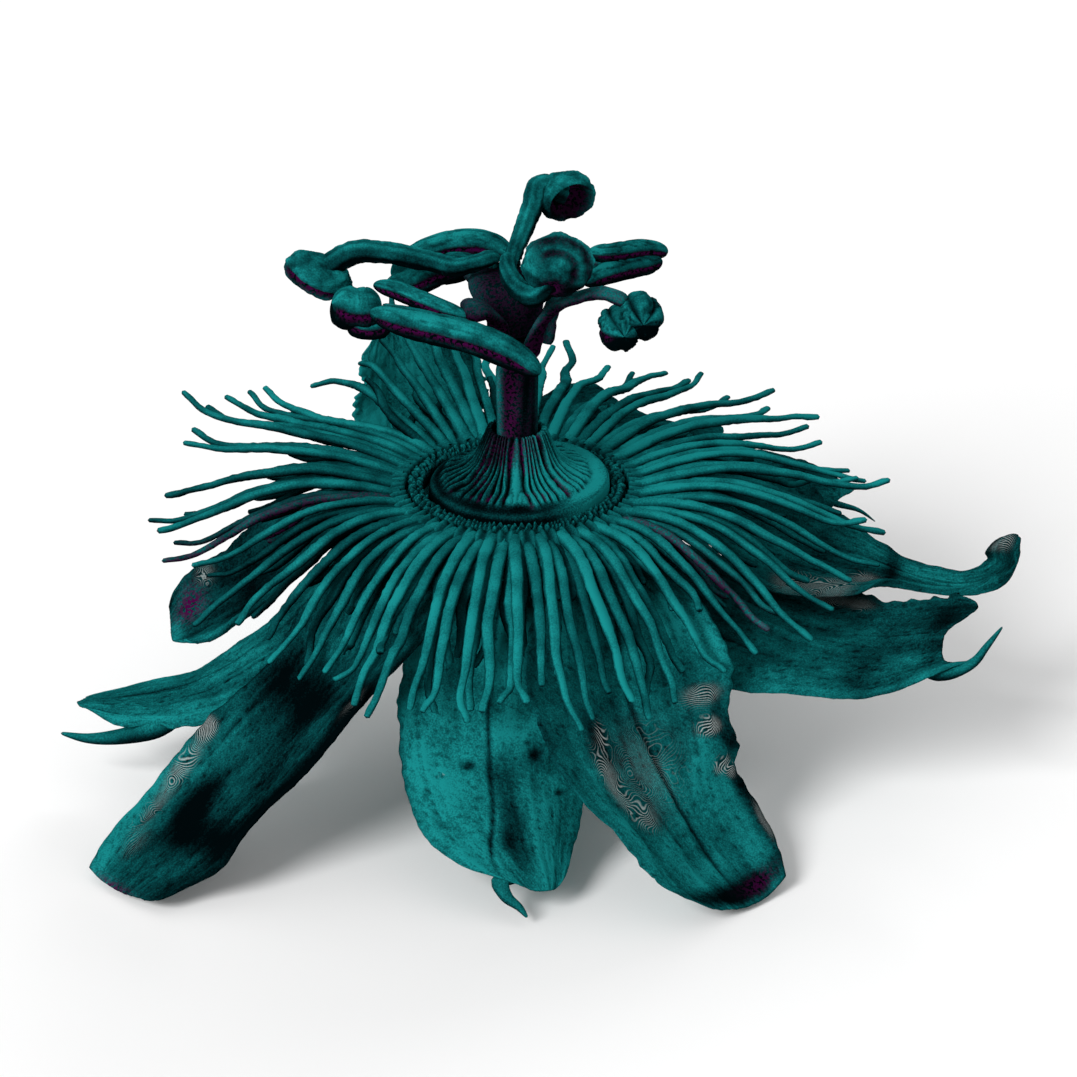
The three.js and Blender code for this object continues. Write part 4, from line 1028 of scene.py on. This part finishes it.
def pouch(girth, path, creases, folds, seed):
    """One of an anther's two pouches, with its slit, the folds it has shrunk into and its skin's creases. Its
    slit, folds, creases and lower side are painted shade, and its slit has a purple tinge.
    """
    line, ways = smooth_path(path, POUCH_STEPS)
    shape = rod(44, POUCH_STEPS)

    def place(p):
        u = 0.5 - 0.5 * math.cos(math.pi * p.z)
        row = min(int(u * POUCH_STEPS), POUCH_STEPS - 1)
        part = u * POUCH_STEPS - row
        at = line[row].lerp(line[row + 1], part)
        way = ways[row].lerp(ways[row + 1], part)
        side = Vector((0, 0, 1)).cross(way).normalized()
        under = side.cross(way)
        outwards = math.copysign(1, -side.y)
        turn = math.atan2(-p.y, outwards * p.x)
        slit = math.exp(-(((turn + 0.1) / 0.17) ** 2)) * rounded(min(u, 1 - u), 0.02, 0.15)
        crease = abs(noise.noise(Vector((1.7 * p.x, 1.7 * p.y, 4 * u + seed))))
        crease = creases * rounded(0.14 - crease, 0, 0.14)
        stripes = 0.15 * noise.noise(Vector((3.5 * p.x, 3.5 * p.y, 1.5 * u + seed)))
        belly = girth * max(1 - (2 * u - 1) ** 4, 0) ** 0.5 * (1 - 0.2 * slit - crease)
        belly *= 1 + 0.07 * noise.noise(Vector((2 * p.x, 2 * p.y, 5 * u + seed)))
        groove = folds * (1 - abs(math.sin(2.5 * turn + 0.6))) ** 3
        belly *= 1 - 0.18 * groove
        shade = 0.82 - 0.7 * slit - 3 * crease - 0.7 * groove + 1.8 * stripes - 0.9 * rounded(p.y, -0.8, 0.8)
        return at + side * (p.x * belly) + under * (p.y * belly), shade, 0.95 * slit, 0

    reshape(shape, place)
    return shape


for node, stamen in STAMENS.items():
    knob = stamen["knob"]

    def stalk_radius(u):
        return 0.72 * (1 + knob * rounded(u, 0.6, 0.9)) * math.sqrt(max(1 - (2 * u - 1) ** 20, 0))

    def stalk_shade(u):
        return 0.5 + (0.3 - 0.5 * knob) * u

    stalk = stem(stamen["stalk"], 24, 40, stalk_radius, 0.55, stalk_shade, 0.3, 0.14)
    pouches = [
        pouch(girth, path, stamen["creases"], stamen["folds"], 9 * girth) for girth, path in stamen["pouches"]
    ]
    piece = placed(gather([stalk, *pouches]), node + "_anther", anther_skin)
    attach(piece, "root")
    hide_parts(node)

# Studio: a plain pale floor under a pale sky, one broad soft lamp near the camera and a weak one behind.
FLOOR_HALF = 3
floor_shape = bmesh.new()
bmesh.ops.create_grid(floor_shape, x_segments=1, y_segments=1, size=FLOOR_HALF)
floor_mesh = bpy.data.meshes.new("floor")
floor_shape.to_mesh(floor_mesh)
floor_shape.free()
floor_paint = bpy.data.materials.new("pale_floor")
floor_paint.use_nodes = True
floor_paint.node_tree.nodes["Principled BSDF"].inputs["Base Color"].default_value = (0.9, 0.9, 0.9, 1)
floor_paint.node_tree.nodes["Principled BSDF"].inputs["Roughness"].default_value = 0.9
floor_mesh.materials.append(floor_paint)
floor = bpy.data.objects.new("floor", floor_mesh)
bpy.context.scene.collection.objects.link(floor)

AIM = TO_FRAME @ Vector((1.4626, 0, -3.9732))


def aimed(thing, place):
    """Puts a lamp or the camera at a place, aimed at the flower."""
    thing.location = place
    thing.rotation_euler = (AIM - Vector(place)).to_track_quat("-Z", "Y").to_euler()
    bpy.context.scene.collection.objects.link(thing)
    return thing


def lamp(name, place, size, power):
    light = bpy.data.lights.new(name, "AREA")
    light.shape = "DISK"
    light.size = size
    light.energy = power
    return aimed(bpy.data.objects.new(name, light), place)


lamp("broad_lamp", (-0.85, -0.95, 0.9), 0.7, 22)
lamp("back_lamp", (0.5, 1.25, 0.65), 0.8, 9)
world = bpy.data.worlds.new("pale_sky")
world.use_nodes = True
world.node_tree.nodes["Background"].inputs["Color"].default_value = (1, 1, 1, 1)
world.node_tree.nodes["Background"].inputs["Strength"].default_value = 0.5
bpy.context.scene.world = world
bpy.context.scene.view_settings.view_transform = "Standard"

# Camera: at the photograph's angle, from the front and 26 degrees above the floor, far off with a long
# lens, so that the flower's near and far sides are drawn nearly to one scale.
CAMERA_PLACE = TO_FRAME @ Vector((1.4626, -233.687, 109.9988))
lens = bpy.data.cameras.new("camera")
lens.lens = 127.75
lens.sensor_width = 36
lens.clip_start = 0.01
lens.clip_end = 20
bpy.context.scene.camera = aimed(bpy.data.objects.new("camera", lens), CAMERA_PLACE)
